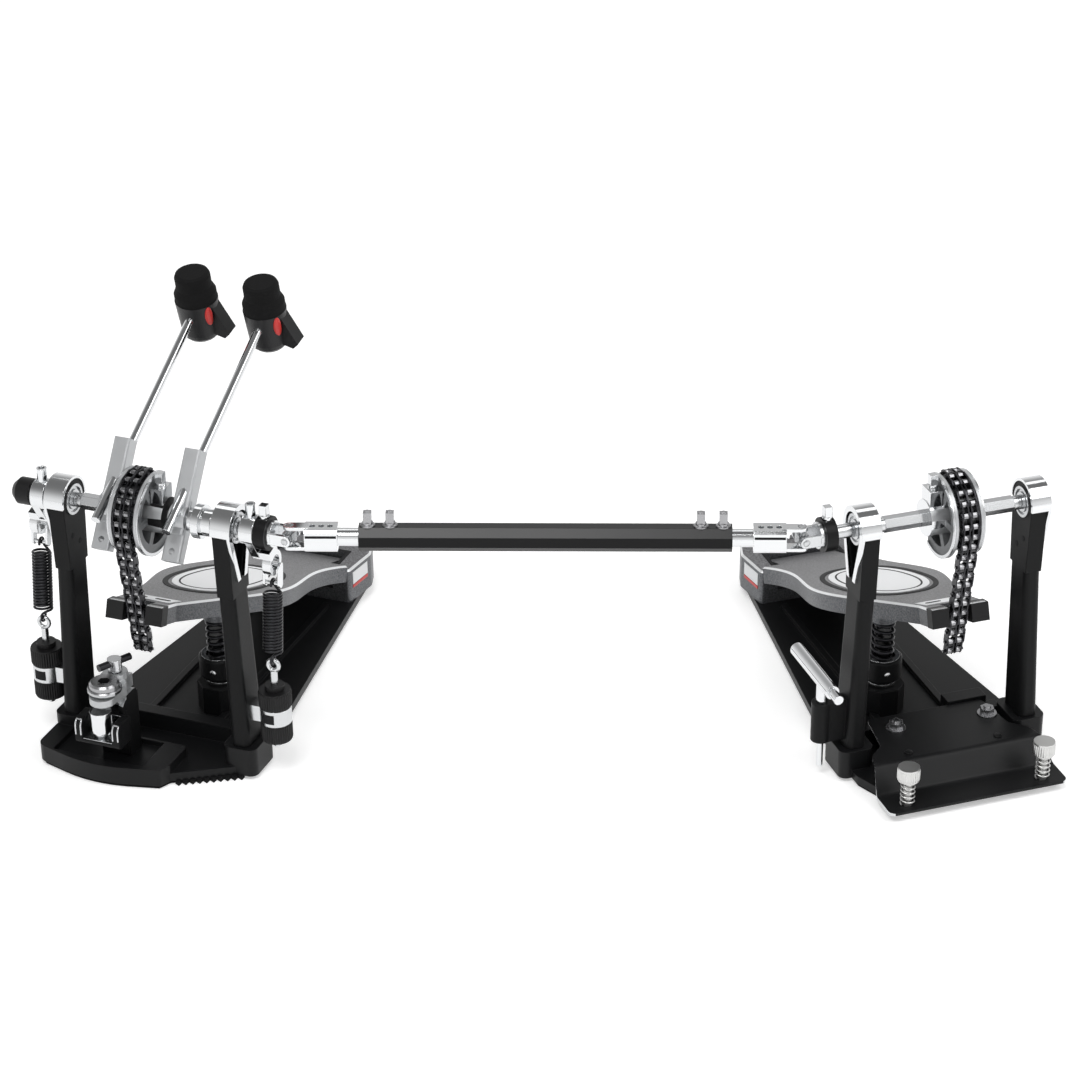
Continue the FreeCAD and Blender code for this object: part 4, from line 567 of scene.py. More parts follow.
def add_piece(name, bm, frame, material, body, smooth=SMOOTH):
    """Puts a mesh in place from its frame, gives it a material and makes it ride on a body."""
    mesh = bpy.data.meshes.new(name)
    bmesh.ops.transform(bm, matrix=frame, verts=bm.verts)
    bmesh.ops.recalc_face_normals(bm, faces=bm.faces)
    for face in bm.faces:
        face.smooth = True
    for edge in bm.edges:
        edge.smooth = edge.is_manifold and edge.calc_face_angle(0.0) < math.radians(smooth)
    bm.to_mesh(mesh)
    bm.free()
    obj = bpy.data.objects.new(name, mesh)
    bpy.context.scene.collection.objects.link(obj)
    mesh.materials.append(material)
    if body:
        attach(obj, body)
    return obj


def skin(bm, rows):
    """Quads between each row of vertices and the next; every row closes on itself."""
    for low, high in zip(rows, rows[1:]):
        for i in range(len(low)):
            j = (i + 1) % len(low)
            bm.faces.new((low[i], low[j], high[j], high[i]))


def closed_skin(bm, rows):
    """Skin with one face over its first row and one over its last."""
    skin(bm, rows)
    bm.faces.new(rows[0])
    bm.faces.new(rows[-1])


def square_to(axis):
    """Unit axis, and two directions square to it."""
    axis = Vector(axis).normalized()
    across = axis.orthogonal().normalized()
    return axis, across, axis.cross(across)


def ring_of(bm, centre, across, other, radii):
    """Ring of vertices at even angles round a centre, one for each radius."""
    ring = []
    for i, r in enumerate(radii):
        a = 2 * math.pi * i / len(radii)
        ring.append(bm.verts.new(centre + (across * math.cos(a) + other * math.sin(a)) * r))
    return ring


def turned_mesh(bm, centre, axis, profile, sides=32):
    """Round piece about an axis, from a profile."""
    axis, across, other = square_to(axis)
    centre = Vector(centre)
    rings = [ring_of(bm, centre + axis * along, across, other, [r] * sides) for along, r in profile]
    closed_skin(bm, rings)


def knurl_mesh(bm, x, y, ends, r, teeth, depth):
    """Upright knurled grip between two heights: straight teeth with bevelled ends."""
    _, across, other = square_to(UP)
    low, high = ends
    rings = []
    for z, shrink in ((low, depth), (low + KNURL_BEVEL, 0.0), (high - KNURL_BEVEL, 0.0), (high, depth)):
        radii = [r - shrink, r - shrink - depth] * teeth
        rings.append(ring_of(bm, Vector((x, y, z)), across, other, radii))
    closed_skin(bm, rings)


def tube_mesh(bm, points, r, sides=10):
    """Round tube through points, with a frame carried along the path so that it doesn't twist."""
    heading = (points[1] - points[0]).normalized()
    across = heading.orthogonal().normalized()
    last = len(points) - 1
    rings = []
    for i, p in enumerate(points):
        turned = (points[min(i + 1, last)] - points[max(i - 1, 0)]).normalized()
        across = heading.rotation_difference(turned) @ across
        heading = turned
        rings.append(ring_of(bm, p, across, heading.cross(across), [r] * sides))
    closed_skin(bm, rings)


def plate_mesh(bm, outline, normal, thickness):
    """Flat plate: an outline of points, raised along a normal."""
    rise = Vector(normal) * thickness
    closed_skin(bm, [[bm.verts.new(p + lift) for p in outline] for lift in (rise * 0, rise)])


def dome_mesh(bm, outline, normal, height):
    """Low dome over an outline: a few shrinking rows, closed by a small flat top."""
    middle = sum(outline, Vector()) / len(outline)
    rows = []
    for reach, rise in DOME_ROWS:
        lift = normal * (rise * height)
        rows.append([bm.verts.new(middle + (p - middle) * reach + lift) for p in outline])
    closed_skin(bm, rows)


def ring_mesh(bm, outer, inner, normal, thickness):
    """Flat ring between two outlines with the same number of points."""
    rise = Vector(normal) * thickness
    rows = [[bm.verts.new(p + lift) for p in line]
            for line, lift in ((outer, rise * 0), (outer, rise), (inner, rise), (inner, rise * 0))]
    skin(bm, rows + rows[:1])


def box_mesh(bm, x, y, z):
    """Block between two values on each axis."""
    outline = [Vector((a, b, z[0])) for a, b in ((x[0], y[0]), (x[1], y[0]), (x[1], y[1]), (x[0], y[1]))]
    plate_mesh(bm, outline, UP, z[1] - z[0])


def arc_patch(bm, x, y, r, degrees, heights, thickness, steps=12):
    """Thin shell on an upright cylinder, between two angles and two heights."""
    turns = [math.radians(degrees[0] + (degrees[1] - degrees[0]) * i / steps) for i in range(steps + 1)]
    rows = []
    for reach in (r - CLEAR, r + thickness):
        for z in heights:
            points = [(x + reach * math.cos(a), y + reach * math.sin(a), z) for a in turns]
            rows.append([bm.verts.new(p) for p in points])
    loop = (rows[0], rows[1], rows[3], rows[2])
    for first, second in zip(loop, loop[1:] + loop[:1]):
        for i in range(steps):
            bm.faces.new((first[i], first[i + 1], second[i + 1], second[i]))
    for i in (0, steps):
        bm.faces.new([row[i] for row in loop])


def circle(x, y, z, r, count=40):
    """Points on a level circle."""
    turns = [2 * math.pi * i / count for i in range(count)]
    return [Vector((x + r * math.cos(a), y + r * math.sin(a), z)) for a in turns]


# Footboard, heel plate and posts

def on_board(x, at, up):
    """Point by its distance from the hinge towards the toe, and its height over the board's hinge line."""
    a = math.radians(BOARD_ANGLE)
    y = HINGE_Y - at * math.cos(a) + up * math.sin(a)
    z = HINGE_Z + at * math.sin(a) + up * math.cos(a)
    return Vector((x, y, z))


def board_up():
    """Direction square to the board."""
    a = math.radians(BOARD_ANGLE)
    return Vector((0, math.sin(a), math.cos(a)))


def oval(halves, up, count=64):
    """Outline on the board from its half length and half width, a little squarer than an ellipse."""
    points = []
    for i in range(count):
        a = 2 * math.pi * i / count
        c, s = math.cos(a), math.sin(a)
        along = halves[0] * math.copysign(abs(c) ** (2 / OVAL_POWER), c)
        wide = halves[1] * math.copysign(abs(s) ** (2 / OVAL_POWER), s)
        points.append(on_board(wide, OVAL_AT + along, up))
    return points


def dress_board(frame, prefix):
    """Bare pale plate with a line on it and one round it, then the toe's strip and caps."""
    body = prefix + "_footboard"
    bm = bmesh.new()
    plate_mesh(bm, oval(OVAL_PLATE, BOARD_TOP), board_up(), OVAL_PLATE_T)
    add_piece(prefix + "_board_plate", bm, frame, PALE, body)
    bm = bmesh.new()
    for outer, inner, up, thickness in OVAL_LINES:
        ring_mesh(bm, oval(outer, BOARD_TOP + up), oval(inner, BOARD_TOP + up), board_up(), thickness)
    add_piece(prefix + "_board_lines", bm, frame, DARK_PRINT_AND_SHADE, body)
    toe_strip(frame, prefix, body)
    toe_pads(frame, prefix, body)


def toe_strip(frame, prefix, body):
    """Pale strip across the toe, with two dark plates as painted shade in its slots."""
    low, high = STRIP_AT
    wide, narrow = STRIP_HALF
    corners = ((-narrow, high), (narrow, high), (wide, low), (-wide, low))
    bm = bmesh.new()
    plate_mesh(bm, [on_board(CHAIN_X + x, at, BOARD_TOP) for x, at in corners], board_up(), STRIP_T)
    add_piece(prefix + "_toe_strip", bm, frame, PALE, body)
    front, back = (low + high) / 2 + TOE_SLOT_WIDE, (low + high) / 2 - TOE_SLOT_WIDE
    middle = (front + back) / 2
    corners = ((-TOE_SLOT_HALF, back), (TOE_SLOT_HALF, back), (TOE_SLOT_TIP, middle),
               (TOE_SLOT_HALF, front), (-TOE_SLOT_HALF, front), (-TOE_SLOT_TIP, middle))
    # Dark plates on the strip: painted shade where its two slots are.
    bm = bmesh.new()
    for x in (CHAIN_X - TOE_SLOT_X, CHAIN_X + TOE_SLOT_X):
        outline = [on_board(x + dx, at, BOARD_TOP + TOE_SLOT_UP) for dx, at in corners]
        plate_mesh(bm, outline, board_up(), TOE_SLOT_T)
    add_piece(prefix + "_toe_slot_shade", bm, frame, DARK_PRINT_AND_SHADE, body)


def toe_pads(frame, prefix, body):
    """Dark caps on the two prongs of the toe."""
    low, high = BOARD_LEN - PAD_DEPTH, BOARD_LEN + PAD_OUT
    under = BOARD_TOP - BOARD_T - PAD_OUT
    section = ((low, BOARD_TOP + PAD_OVER), (high, BOARD_TOP - PAD_DROP), (high, under), (low, under))
    side, slot = TOE_HALF + PAD_OVER, SLOT_HALF - CLEAR
    bm = bmesh.new()
    for x in (-side, slot):
        plate_mesh(bm, [on_board(CHAIN_X + x, at, up) for at, up in section], (1, 0, 0), side - slot)
    add_piece(prefix + "_toe_pads", bm, frame, KNURL, body)


def dress_heel(frame, prefix):
    """Bare pale marker with a red edge on each side of the heel plate."""
    slope = (HEEL_WIDE_HALF - HEEL_HALF) / (HEEL_WIDE_Y - HEEL_FRONT_Y)
    front, back = MARKER_Y
    for part, heights, material in (("marker", MARKER_Z, PALE), ("marker_edge", MARKER_EDGE_Z, RED)):
        low, high = heights
        bm = bmesh.new()
        for sign in (-1, 1):
            outline = []
            for y, z in ((front, low), (back, low), (back, high), (front, high)):
                side = HEEL_HALF + (y - HEEL_FRONT_Y) * slope
                outline.append(Vector((sign * side, y, z)))
            plate_mesh(bm, outline, (sign, 0, 0), MARKER_T)
        add_piece(prefix + "_heel_" + part, bm, frame, material, prefix + "_frame")


def dress_hinge(frame, prefix):
    """Dark band round the notch in which the footboard's tongue swings: painted shade of the gap round the
    tongue.
    """
    inner, outer = NOTCH_HALF + CLEAR, NOTCH_HALF + NOTCH_SHADE_BAND
    back = NOTCH_Y + CLEAR
    outline = [(-outer, NOTCH_START), (-outer, back + NOTCH_SHADE_BAND), (outer, back + NOTCH_SHADE_BAND),
               (outer, NOTCH_START), (inner, NOTCH_START), (inner, back), (-inner, back),
               (-inner, NOTCH_START)]
    bm = bmesh.new()
    plate_mesh(bm, [Vector((x, y, HEEL_TOP)) for x, y in outline], UP, NOTCH_SHADE_T)
    add_piece(prefix + "_hinge_gap_shade", bm, frame, DARK_PRINT_AND_SHADE, prefix + "_frame")


def dress_post(frame, prefix):
    """Two dark discs on the outer post, on the side that faces the cam: painted shade for two screw holes.
    """
    bm = bmesh.new()
    for y, z in POST_HOLES:
        turned_mesh(bm, (POST_FACE, y, z), (1, 0, 0), POST_HOLE, sides=20)
    add_piece(prefix + "_post_hole_shade", bm, frame, DARK_PRINT_AND_SHADE, prefix + "_frame")


def dress_cam(frame, prefix):
    """Bright raised rim on both sides of the cam, open at its flat back."""
    start = math.acos(CAM_BACK_Y / CAM_R) + math.radians(CAM_LIP_END)
    sweep = 2 * math.pi - 2 * start
    turns = [start + sweep * i / CAM_LIP_STEPS for i in range(CAM_LIP_STEPS + 1)]
    outline = [(CAM_R, a) for a in turns] + [(CAM_R - CAM_LIP, a) for a in reversed(turns)]
    bm = bmesh.new()
    for sign in (-1, 1):
        x = CHAIN_X + sign * CAM_SIDE
        points = [Vector((x, r * math.cos(a), AXLE_Z + r * math.sin(a))) for r, a in outline]
        plate_mesh(bm, points, (sign, 0, 0), CAM_LIP_OUT)
    add_piece(prefix + "_cam_rims", bm, frame, SATIN, prefix + "_axle")


# Springs, coils and knobs

def helix_points(centre, r, pitch, turns, per_turn=20):
    """Points on an upright helix."""
    points = []
    for i in range(turns * per_turn + 1):
        t = i / per_turn
        a = 2 * math.pi * t
        points.append(Vector(centre) + Vector((r * math.cos(a), r * math.sin(a), pitch * t)))
    return points


def ease(start, heading, end, arrival, count=8):
    """Smooth lead between two points with given directions, without the points themselves."""
    reach = (end - start).length * LEAD_EASE
    points = []
    for i in range(1, count):
        t = i / count
        h00, h10 = 2 * t ** 3 - 3 * t ** 2 + 1, t ** 3 - 2 * t ** 2 + t
        h01, h11 = -2 * t ** 3 + 3 * t ** 2, t ** 3 - t ** 2
        points.append(start * h00 + heading * (h10 * reach) + end * h01 + arrival * (h11 * reach))
    return points


def half_loop(centre, first, second, count=10):
    """Points on a half turn from centre + first, past centre + second, to centre - first."""
    turns = [math.pi * i / count for i in range(count + 1)]
    return [centre + first * math.cos(a) + second * math.sin(a) for a in turns]


def spring_lean():
    """Angle at which a spring leans from its eyebolt to its rocker's eye at rest."""
    a = math.radians(ROCKER_BACK)
    y, z = ROCKER_ARM * math.sin(a), AXLE_Z - ROCKER_ARM * math.cos(a) - SPRING_PIVOT
    return math.atan2(-y, z) - math.radians(HOOK_LEAN)


def dress_spring(side, x):
    """Tension spring between its eyebolt and its link, at rest."""
    base = SPRING_NECK + SPRING_LEAD
    span = SPRING_PITCH * SPRING_TURNS
    top = 2 * base + span
    up, forward = Vector(UP), Vector((0, 1, 0))
    back = forward * HOOK_R
    coil = helix_points((0, 0, base), SPRING_R, SPRING_PITCH, SPRING_TURNS)
    low_neck, high_neck = up * SPRING_NECK - back, up * (top - SPRING_NECK) + back
    points = [back + up * SPRING_WIRE] + half_loop(Vector(), back, up * -HOOK_R) + [low_neck]
    points += ease(low_neck, up, coil[0], forward) + coil + ease(coil[-1], forward, high_neck, up)
    points += [high_neck] + half_loop(up * top, back, up * HOOK_R) + [up * (top - SPRING_WIRE) - back]
    pivot = Vector((x, 0, SPRING_PIVOT))
    lean = Matrix.Rotation(spring_lean(), 4, "X")
    bm = bmesh.new()
    tube_mesh(bm, [pivot + lean @ p for p in points], SPRING_WIRE / 2)
    name = side + "_spring"
    obj = add_piece(name + "_wire", bm, MAIN, WIRE, None, SMOOTH_WIRE)
    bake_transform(obj)
    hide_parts(name)


def dress_coil(frame, prefix):
    """Coil under the board."""
    centre = Vector((COIL_X, COIL_Y, COIL_FLOOR + COIL_WIRE / 2 + COIL_SEAT))
    bm = bmesh.new()
    tube_mesh(bm, helix_points(centre, COIL_R, COIL_PITCH, COIL_TURNS), COIL_WIRE / 2, sides=12)
    obj = add_piece(prefix + "_coil_wire", bm, frame, WIRE, prefix + "_frame", SMOOTH_WIRE)
    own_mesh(obj)
    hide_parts(prefix + "_board_coil")


def dress_cup(frame, prefix):
    """Bright seat ring and collar on the coil cup, and its grub screw."""
    bore = COIL_R + COIL_WIRE / 2 + CUP_GAP
    seat = CUP_R - CUP_LIP - CUP_GAP
    bm = bmesh.new()
    outer, inner = [circle(COIL_X, COIL_Y, CUP_TOP, r) for r in (seat, bore)]
    ring_mesh(bm, outer, inner, UP, CUP_SEAT_T)
    collar = ((0, CUP_COLLAR_R), (CUP_COLLAR_H, CUP_COLLAR_R))
    turned_mesh(bm, (COIL_X, COIL_Y, CUP_COLLAR_Z), UP, collar, sides=40)
    turned_mesh(bm, CUP_SCREW_AT, (0, -1, 0), CUP_SCREW, sides=20)
    add_piece(prefix + "_cup_rings", bm, frame, SATIN, prefix + "_frame")


def dress_knobs(side, x):
    """Window in a spring's bracket, and knurled grips on the knobs above and below it."""
    bm = bmesh.new()
    arc_patch(bm, x, 0, BRACKET_R, WINDOW_ARC, WINDOW_Z, WINDOW_T)
    add_piece(side + "_clip_window", bm, MAIN, DARK_PRINT_AND_SHADE, "main_frame")
    bm = bmesh.new()
    for ends, r in ((UPPER_GRIP, KNOB_R), (LOWER_GRIP, LOW_KNOB_R)):
        knurl_mesh(bm, x, 0, ends, r + GRIP_OUT, GRIP_TEETH, GRIP_DEPTH)
    add_piece(side + "_knob_grips", bm, MAIN, KNURL, side + "_knobs", SMOOTH_KNURL)


# Beaters and hoop clamp

def dress_heads():
    """Red insert on the side of each beater head."""
    for name, x in HEADS.items():
        outline = []
        for i in range(INSERT_POINTS):
            a = 2 * math.pi * i / INSERT_POINTS
            ahead = INSERT_AHEAD + INSERT_HALF[0] * math.cos(a)
            along = INSERT_ALONG + INSERT_HALF[1] * math.sin(a)
            side = math.sqrt((HEAD_R - INSERT_SUNK) ** 2 - along ** 2)
            outline.append(head_point(x, ahead, along, side))
        out = (head_point(x, 0, INSERT_ALONG, INSERT_SIDE) - head_point(x, 0, 0)).normalized()
        bm = bmesh.new()
        dome_mesh(bm, outline, out, INSERT_RISE)
        add_piece(name + "_head_insert", bm, MAIN, RED, name + "_beater")


def dress_jaw():
    """Bright trim round the front edge of both side walls of the hoop jaw, and a bright floor."""
    low, high = JAW_Z[0] + TRIM_RISE, JAW_Z[1] - TRIM_DROP
    heights = [low + (high - low) * i / TRIM_STEPS for i in range(TRIM_STEPS + 1)]

    def front_edge(x):
        """Points up the rounded front edge of a wall."""
        points = []
        for z in heights:
            rise = max(z - JAW_Z[1] + JAW_ROUND, 0.0)
            points.append(Vector((x, JAW_Y[0] + JAW_ROUND - math.sqrt(JAW_ROUND ** 2 - rise ** 2), z)))
        return points

    bm = bmesh.new()
    for sign in (-1, 1):
        inner = CLAMP_MIDDLE + sign * (JAW_HALF - JAW_WALL + TRIM_IN)
        outer = CLAMP_MIDDLE + sign * (JAW_HALF - TRIM_IN)
        tube_mesh(bm, front_edge(inner) + front_edge(outer)[::-1], TRIM_R, sides=8)
    pan = JAW_HALF - JAW_WALL - PAN_GAP
    floor = JAW_Z[0] + JAW_FLOOR
    box_mesh(bm, (CLAMP_MIDDLE - pan, CLAMP_MIDDLE + pan), (JAW_Y[0] + PAN_GAP, PLUNGER_Y + PAN_BACK),
             (floor, floor + PAN_T))
    add_piece("jaw_trim", bm, MAIN, SATIN, "hoop_jaw", SMOOTH_WIRE)


def casting_outline():
    """Outline of the clamp casting from above, open at the back for the wing bolt."""
    slot_front = WING_BOLT_Y - WING_HEAD_R
    right = CLAMP_HALF + CASTING_WIDER
    outline = [(BOLT_WAY, CASTING_BACK), (CLAMP_ARM_HALF, CASTING_BACK), (CLAMP_ARM_HALF, CASTING_WAIST),
               (right, slot_front), (right, CASTING_SHOULDER), (NOSE_R, CASTING_NOSE)]
    for i in range(1, NOSE_STEPS):
        a = math.pi * i / NOSE_STEPS
        outline.append((NOSE_R * math.cos(a), CASTING_NOSE - NOSE_R * math.sin(a)))
    outline += [(-NOSE_R, CASTING_NOSE), (-CLAMP_HALF, CASTING_SHOULDER), (-CLAMP_HALF, CASTING_BACK)]
    return outline + [(-BOLT_WAY, CASTING_BACK), (-BOLT_WAY, slot_front), (BOLT_WAY, slot_front)]


def dress_clamp():
    """Broad top of the clamp casting: a nose over the plunger, wide shoulders and a boss round the bolt."""
    length = CASTING_SHOULDER - CASTING_NOSE
    low_row, high_row = [], []
    bm = bmesh.new()
    for x, y in casting_outline():
        drop = CASTING_FALL / length * min(max(CASTING_SHOULDER - y, 0.0), length)
        low_row.append(bm.verts.new((CLAMP_MIDDLE + x, y, NOSE_Z)))
        high_row.append(bm.verts.new((CLAMP_MIDDLE + x, y, CASTING_TOP - drop)))
    closed_skin(bm, [low_row, high_row])
    base = CLAMP_ARM_Z[0]
    outer, inner = [circle(CLAMP_MIDDLE, WING_BOLT_Y, base, r) for r in (CLAMP_ARM_HALF, BOLT_WAY)]
    ring_mesh(bm, outer, inner, UP, CASTING_TOP + BOSS_UP - base)
    add_piece("clamp_casting", bm, MAIN, CAST, "main_frame", SMOOTH_CAST)


# Front plate, rod and universal joints

def nut_mesh(bm, at):
    """Hex nut with a washer under it and a thread end above."""
    top = NUT_WASHER_T + NUT_H
    turned_mesh(bm, at, UP, ((0, NUT_WASHER_R), (NUT_WASHER_T, NUT_WASHER_R)), sides=28)
    turned_mesh(bm, at, UP, ((NUT_WASHER_T, NUT_R), (top, NUT_R)), sides=6)
    turned_mesh(bm, at, UP, ((top, THREAD_R), (top + THREAD_OUT, THREAD_END_R)), sides=16)


def dress_front_plate():
    """Nuts and rivets on the slave pedal's front plate, and knurled grips on its spurs."""
    bm = bmesh.new()
    for x, y in NUTS_AT:
        nut_mesh(bm, (x, y, FRONT_TOP))
    add_piece("front_plate_nuts", bm, SLAVE, BOLT, "slave_frame")
    bm = bmesh.new()
    for x, y in RIVETS_AT:
        turned_mesh(bm, (x, y, FRONT_TOP), UP, RIVET, sides=20)
    add_piece("front_plate_rivets", bm, SLAVE, COAT, "slave_frame")
    for name, x in (("spur_left", SPUR_X), ("spur_right", -SPUR_X)):
        bm = bmesh.new()
        knurl_mesh(bm, x, SPUR_Y, SPUR_GRIP, SPUR_HEAD_R + SPUR_GRIP_OUT, SPUR_TEETH, SPUR_TOOTH)
        add_piece(name + "_grip", bm, SLAVE, ZINC, name, SMOOTH_KNURL)


def dress_yoke(name, body, mirrored):
    """Dark strip along the block of a rod yoke: painted shade for a groove."""
    ends = [ROD_X + YOKE_BASE + GROOVE_INSET, ROD_X + BLOCK_END - GROOVE_INSET]
    if mirrored:
        ends = [SPAN - ends[1], SPAN - ends[0]]
    face = ROD_Y - BLOCK_HALF
    bm = bmesh.new()
    box_mesh(bm, ends, (face - GROOVE_OUT, face + GROOVE_DEPTH), GROOVE_Z)
    add_piece(name + "_groove_shade", bm, WORLD, DARK_PRINT_AND_SHADE, body)


def dress_rod_bolts():
    """Flange washer under each clamp bolt of the rod tube, and a rounded end on its head."""
    half = SPAN / 2 - ROD_X - BLOCK_END - ROD_SHOWN
    seat = AXLE_Z + TUBE_FLATS / 2
    bm = bmesh.new()
    for sign in (-1, 1):
        for inset in BOLT_SPACING:
            x = SPAN / 2 + sign * (half - inset)
            turned_mesh(bm, (x, ROD_Y, seat), UP, FLANGE, sides=24)
            turned_mesh(bm, (x, ROD_Y, seat + BOLT_TOP), UP, BOLT_END, sides=20)
    add_piece("rod_bolt_washers", bm, WORLD, BOLT, "rod")


def dress_joint(frame, prefix):
    """Ends of the cross's pins, just outside the yoke prongs."""
    bm = bmesh.new()
    for sign in (-1, 1):
        turned_mesh(bm, (JOINT_X, sign * PRONG_OUT, AXLE_Z), (0, sign, 0), PIN_END, sides=18)
    add_piece(prefix + "_joint_pins", bm, frame, STEEL, prefix + "_joint_cross")


# Finishes of the CAD pieces. Each is_ function takes a face's centre in the pedal's frame.

def off_axle(p):
    """Distance from the axle."""
    return math.hypot(p.y, p.z - AXLE_Z)


def off_upright(p, y):
    """Distance from an upright line in the middle of the hoop clamp."""
    return math.hypot(p.x - CLAMP_MIDDLE, p.y - y)


def off_head_axis(p, x):
    """Distance from a beater head's axis."""
    centre = head_point(x, 0, 0)
    return (p - centre).cross((head_point(x, 1, 0) - centre).normalized()).length


def is_roller(p):
    """Rollers of both strands, and the ends of the chain's pins."""
    beside = abs(p.x - CHAIN_X)
    return abs(beside - STRAND / 2) < ROLLER_W / 2 - NEAR or beside > CHAIN_HALF - CLEAR


def is_collar_bolt(p):
    """Bolt on top of a collar."""
    return p.z > COLLAR_SEAT + NEAR and math.hypot(p.x - COLLAR_MIDDLE, p.y) < BOLT_R + CLEAR


def is_cam_web(p):
    """Sides of the cam, and the walls of its windows, which get a painted shade as if the web were
    recessed.
    """
    beside = abs(p.x - CHAIN_X)
    in_window = beside < CAM_SIDE and CAM_BOSS_R < off_axle(p) < CAM_WEB_R
    return in_window or abs(beside - CAM_SIDE) < NEAR


def is_cam_boss(p):
    """Boss beside the cam."""
    return p.x > CHAIN_X + CAM_SIDE + NEAR and off_axle(p) < CAM_BOSS_R + CLEAR


def is_cam_lug(p):
    """Lug beside the cam, away from its boss."""
    return p.x > CHAIN_X + CAM_SIDE + NEAR and off_axle(p) > CAM_BOSS_R + CLEAR


def is_plunger(p):
    """Plunger that stands on the floor of the jaw."""
    return off_upright(p, PLUNGER_Y) < PLUNGER_R + NEAR and p.z > JAW_Z[0] + JAW_FLOOR + NEAR


def is_clamp_disc(p):
    """Upper part of the round disc on the clamp."""
    return off_upright(p, DISC_Y) < DISC_R + CLEAR and p.z > DISC_Z[0] + DISC_SKIRT


def is_clamp_socket(p):
    """Socket in the disc, whose walls get a painted shade."""
    return off_upright(p, DISC_Y) < SOCKET_R + NEAR and DISC_Z[0] < p.z < DISC_Z[1] - NEAR


def is_clamp_foot(p):
    """Foot of the clamp, under its arm and beside it."""
    return p.z < CLAMP_ARM_Z[0] or abs(p.x - CLAMP_MIDDLE) > CLAMP_HALF - CLEAR


def is_wing_bar(p):
    """T bar of the wing bolt."""
    return off_upright(p, WING_BOLT_Y) > WING_HEAD_R + CLEAR


def is_tube_top(p):
    """Upper flats of the rod tube, which get a painted sheen for the light from above."""
    return p.z > AXLE_Z + TUBE_FLATS / 4


def add_finish(obj, material):
    """Adds a finish to a piece, and returns its number there."""
    obj.data.materials.append(material)
    return len(obj.data.materials) - 1


def paint_faces(obj, frame, material, chosen):
    """Gives another finish to the faces whose centre, in the pedal's frame, is chosen."""
    number = add_finish(obj, material)
    back = frame.inverted()
    for face in obj.data.polygons:
        if chosen(back @ face.center):
            face.material_index = number


def paint_edges(obj, frame, material):
    """Gives another finish to the edges at the left and right of a sheet."""
    number = add_finish(obj, material)
    back = frame.inverted().to_3x3()
    for face in obj.data.polygons:
        normal = (back @ face.normal).normalized()
        if abs(normal.z) < EDGE_LEVEL and abs(normal.x) > EDGE_SIDEWAYS:
            face.material_index = number


def paint_two_tone(nodes):
    """Finishes of the pieces that show more than one."""
    for pedal, frame, collar, boss in (("main", MAIN, "drive", GLOSS), ("slave", SLAVE, "slave", CHROME)):
        for run in ("_chain_wrap", "_chain_run"):
            paint_faces(nodes[pedal + run], frame, ROLLER, is_roller)
        for material, chosen in ((WEB_SHADE, is_cam_web), (boss, is_cam_boss), (CHROME, is_cam_lug)):
            paint_faces(nodes[pedal + "_cam"], frame, material, chosen)
        paint_faces(nodes[collar + "_collar"], frame, CHROME, is_collar_bolt)
    paint_faces(nodes["hoop_jaw"], MAIN, CHROME, is_plunger)
    # The socket's walls in the clamp disc get a painted shade.
    for material, chosen in ((COAT, is_clamp_foot), (BOLT, is_clamp_disc), (DARK_PRINT_AND_SHADE, is_clamp_socket)):
        paint_faces(nodes["hoop_clamp_body"], MAIN, material, chosen)
    paint_faces(nodes["hoop_wing_bolt"], MAIN, WIRE, is_wing_bar)
    paint_edges(nodes["slave_front_plate"], SLAVE, SATIN)
    # The rod tube's upper flats get a painted sheen from the lit copy of its black gloss.
    paint_faces(nodes["rod_tube"], WORLD, TUBE_SHEEN, is_tube_top)
    for name, x in HEADS.items():
        fins = nodes[name + "_beater_head"]
        paint_faces(fins, MAIN, KNURL, lambda p: off_head_axis(p, x) > HEAD_R + FIN_OUT)


def paint_nodes(nodes):
    """First finish of every CAD piece, and then the second ones."""
    finishes = {
        COAT: ("main_outer_post", "main_inner_post", "slave_outer_post", "slave_inner_post", "hoop_jaw",
               "main_coil_cup", "slave_coil_cup"),
        SHEET: ("main_base_plate", "slave_base_plate", "slave_front_plate"),
        GLOSS: ("rod_tube", "drive_collar", "slave_collar"),
        SATIN: ("hoop_wing_bolt", "main_axle", "slave_axle", "spring_tensioners"),
        CHROME: ("main_bearing_caps", "slave_bearing_caps", "outer_spring_hook", "inner_spring_hook",
                 "main_beater_shaft", "slave_beater_shaft", "drum_key", "main_rocker", "drive_rocker",
                 "rod_main_yoke", "rod_slave_yoke", "drive_shaft"),
        STEEL: ("main_joint_cross", "slave_joint_cross", "main_bearings", "slave_bearings"),
        BOLT: ("rod_bolts",),
        ZINC: ("spur_bolt_left", "spur_bolt_right"),
        CAST: ("main_cam", "slave_cam", "hoop_clamp_body", "main_beater_hub", "slave_beater_hub"),
        CHAIN: ("main_chain_wrap", "main_chain_run", "slave_chain_wrap", "slave_chain_run"),
        WIRE: ("outer_spring", "inner_spring", "main_board_coil", "slave_board_coil"),
        KNURL: ("outer_knobs", "inner_knobs", "main_axle_cap"),
        RUBBER: ("main_sole", "slave_sole"),
        BOARD: ("main_footboard", "slave_footboard"),
        HEEL: ("main_heel_plate", "slave_heel_plate"),
    }
    for material, names in finishes.items():
        for name in names:
            set_material(nodes[name], material)
    for name, x in HEADS.items():
        head = name + "_beater_head"
        set_material(nodes[head], head_material(head, x))
    paint_two_tone(nodes)


def set_material(obj, material):
    """Makes a finish the only one of a piece."""
    obj.data.materials.clear()
    obj.data.materials.append(material)


# Stage, light and camera

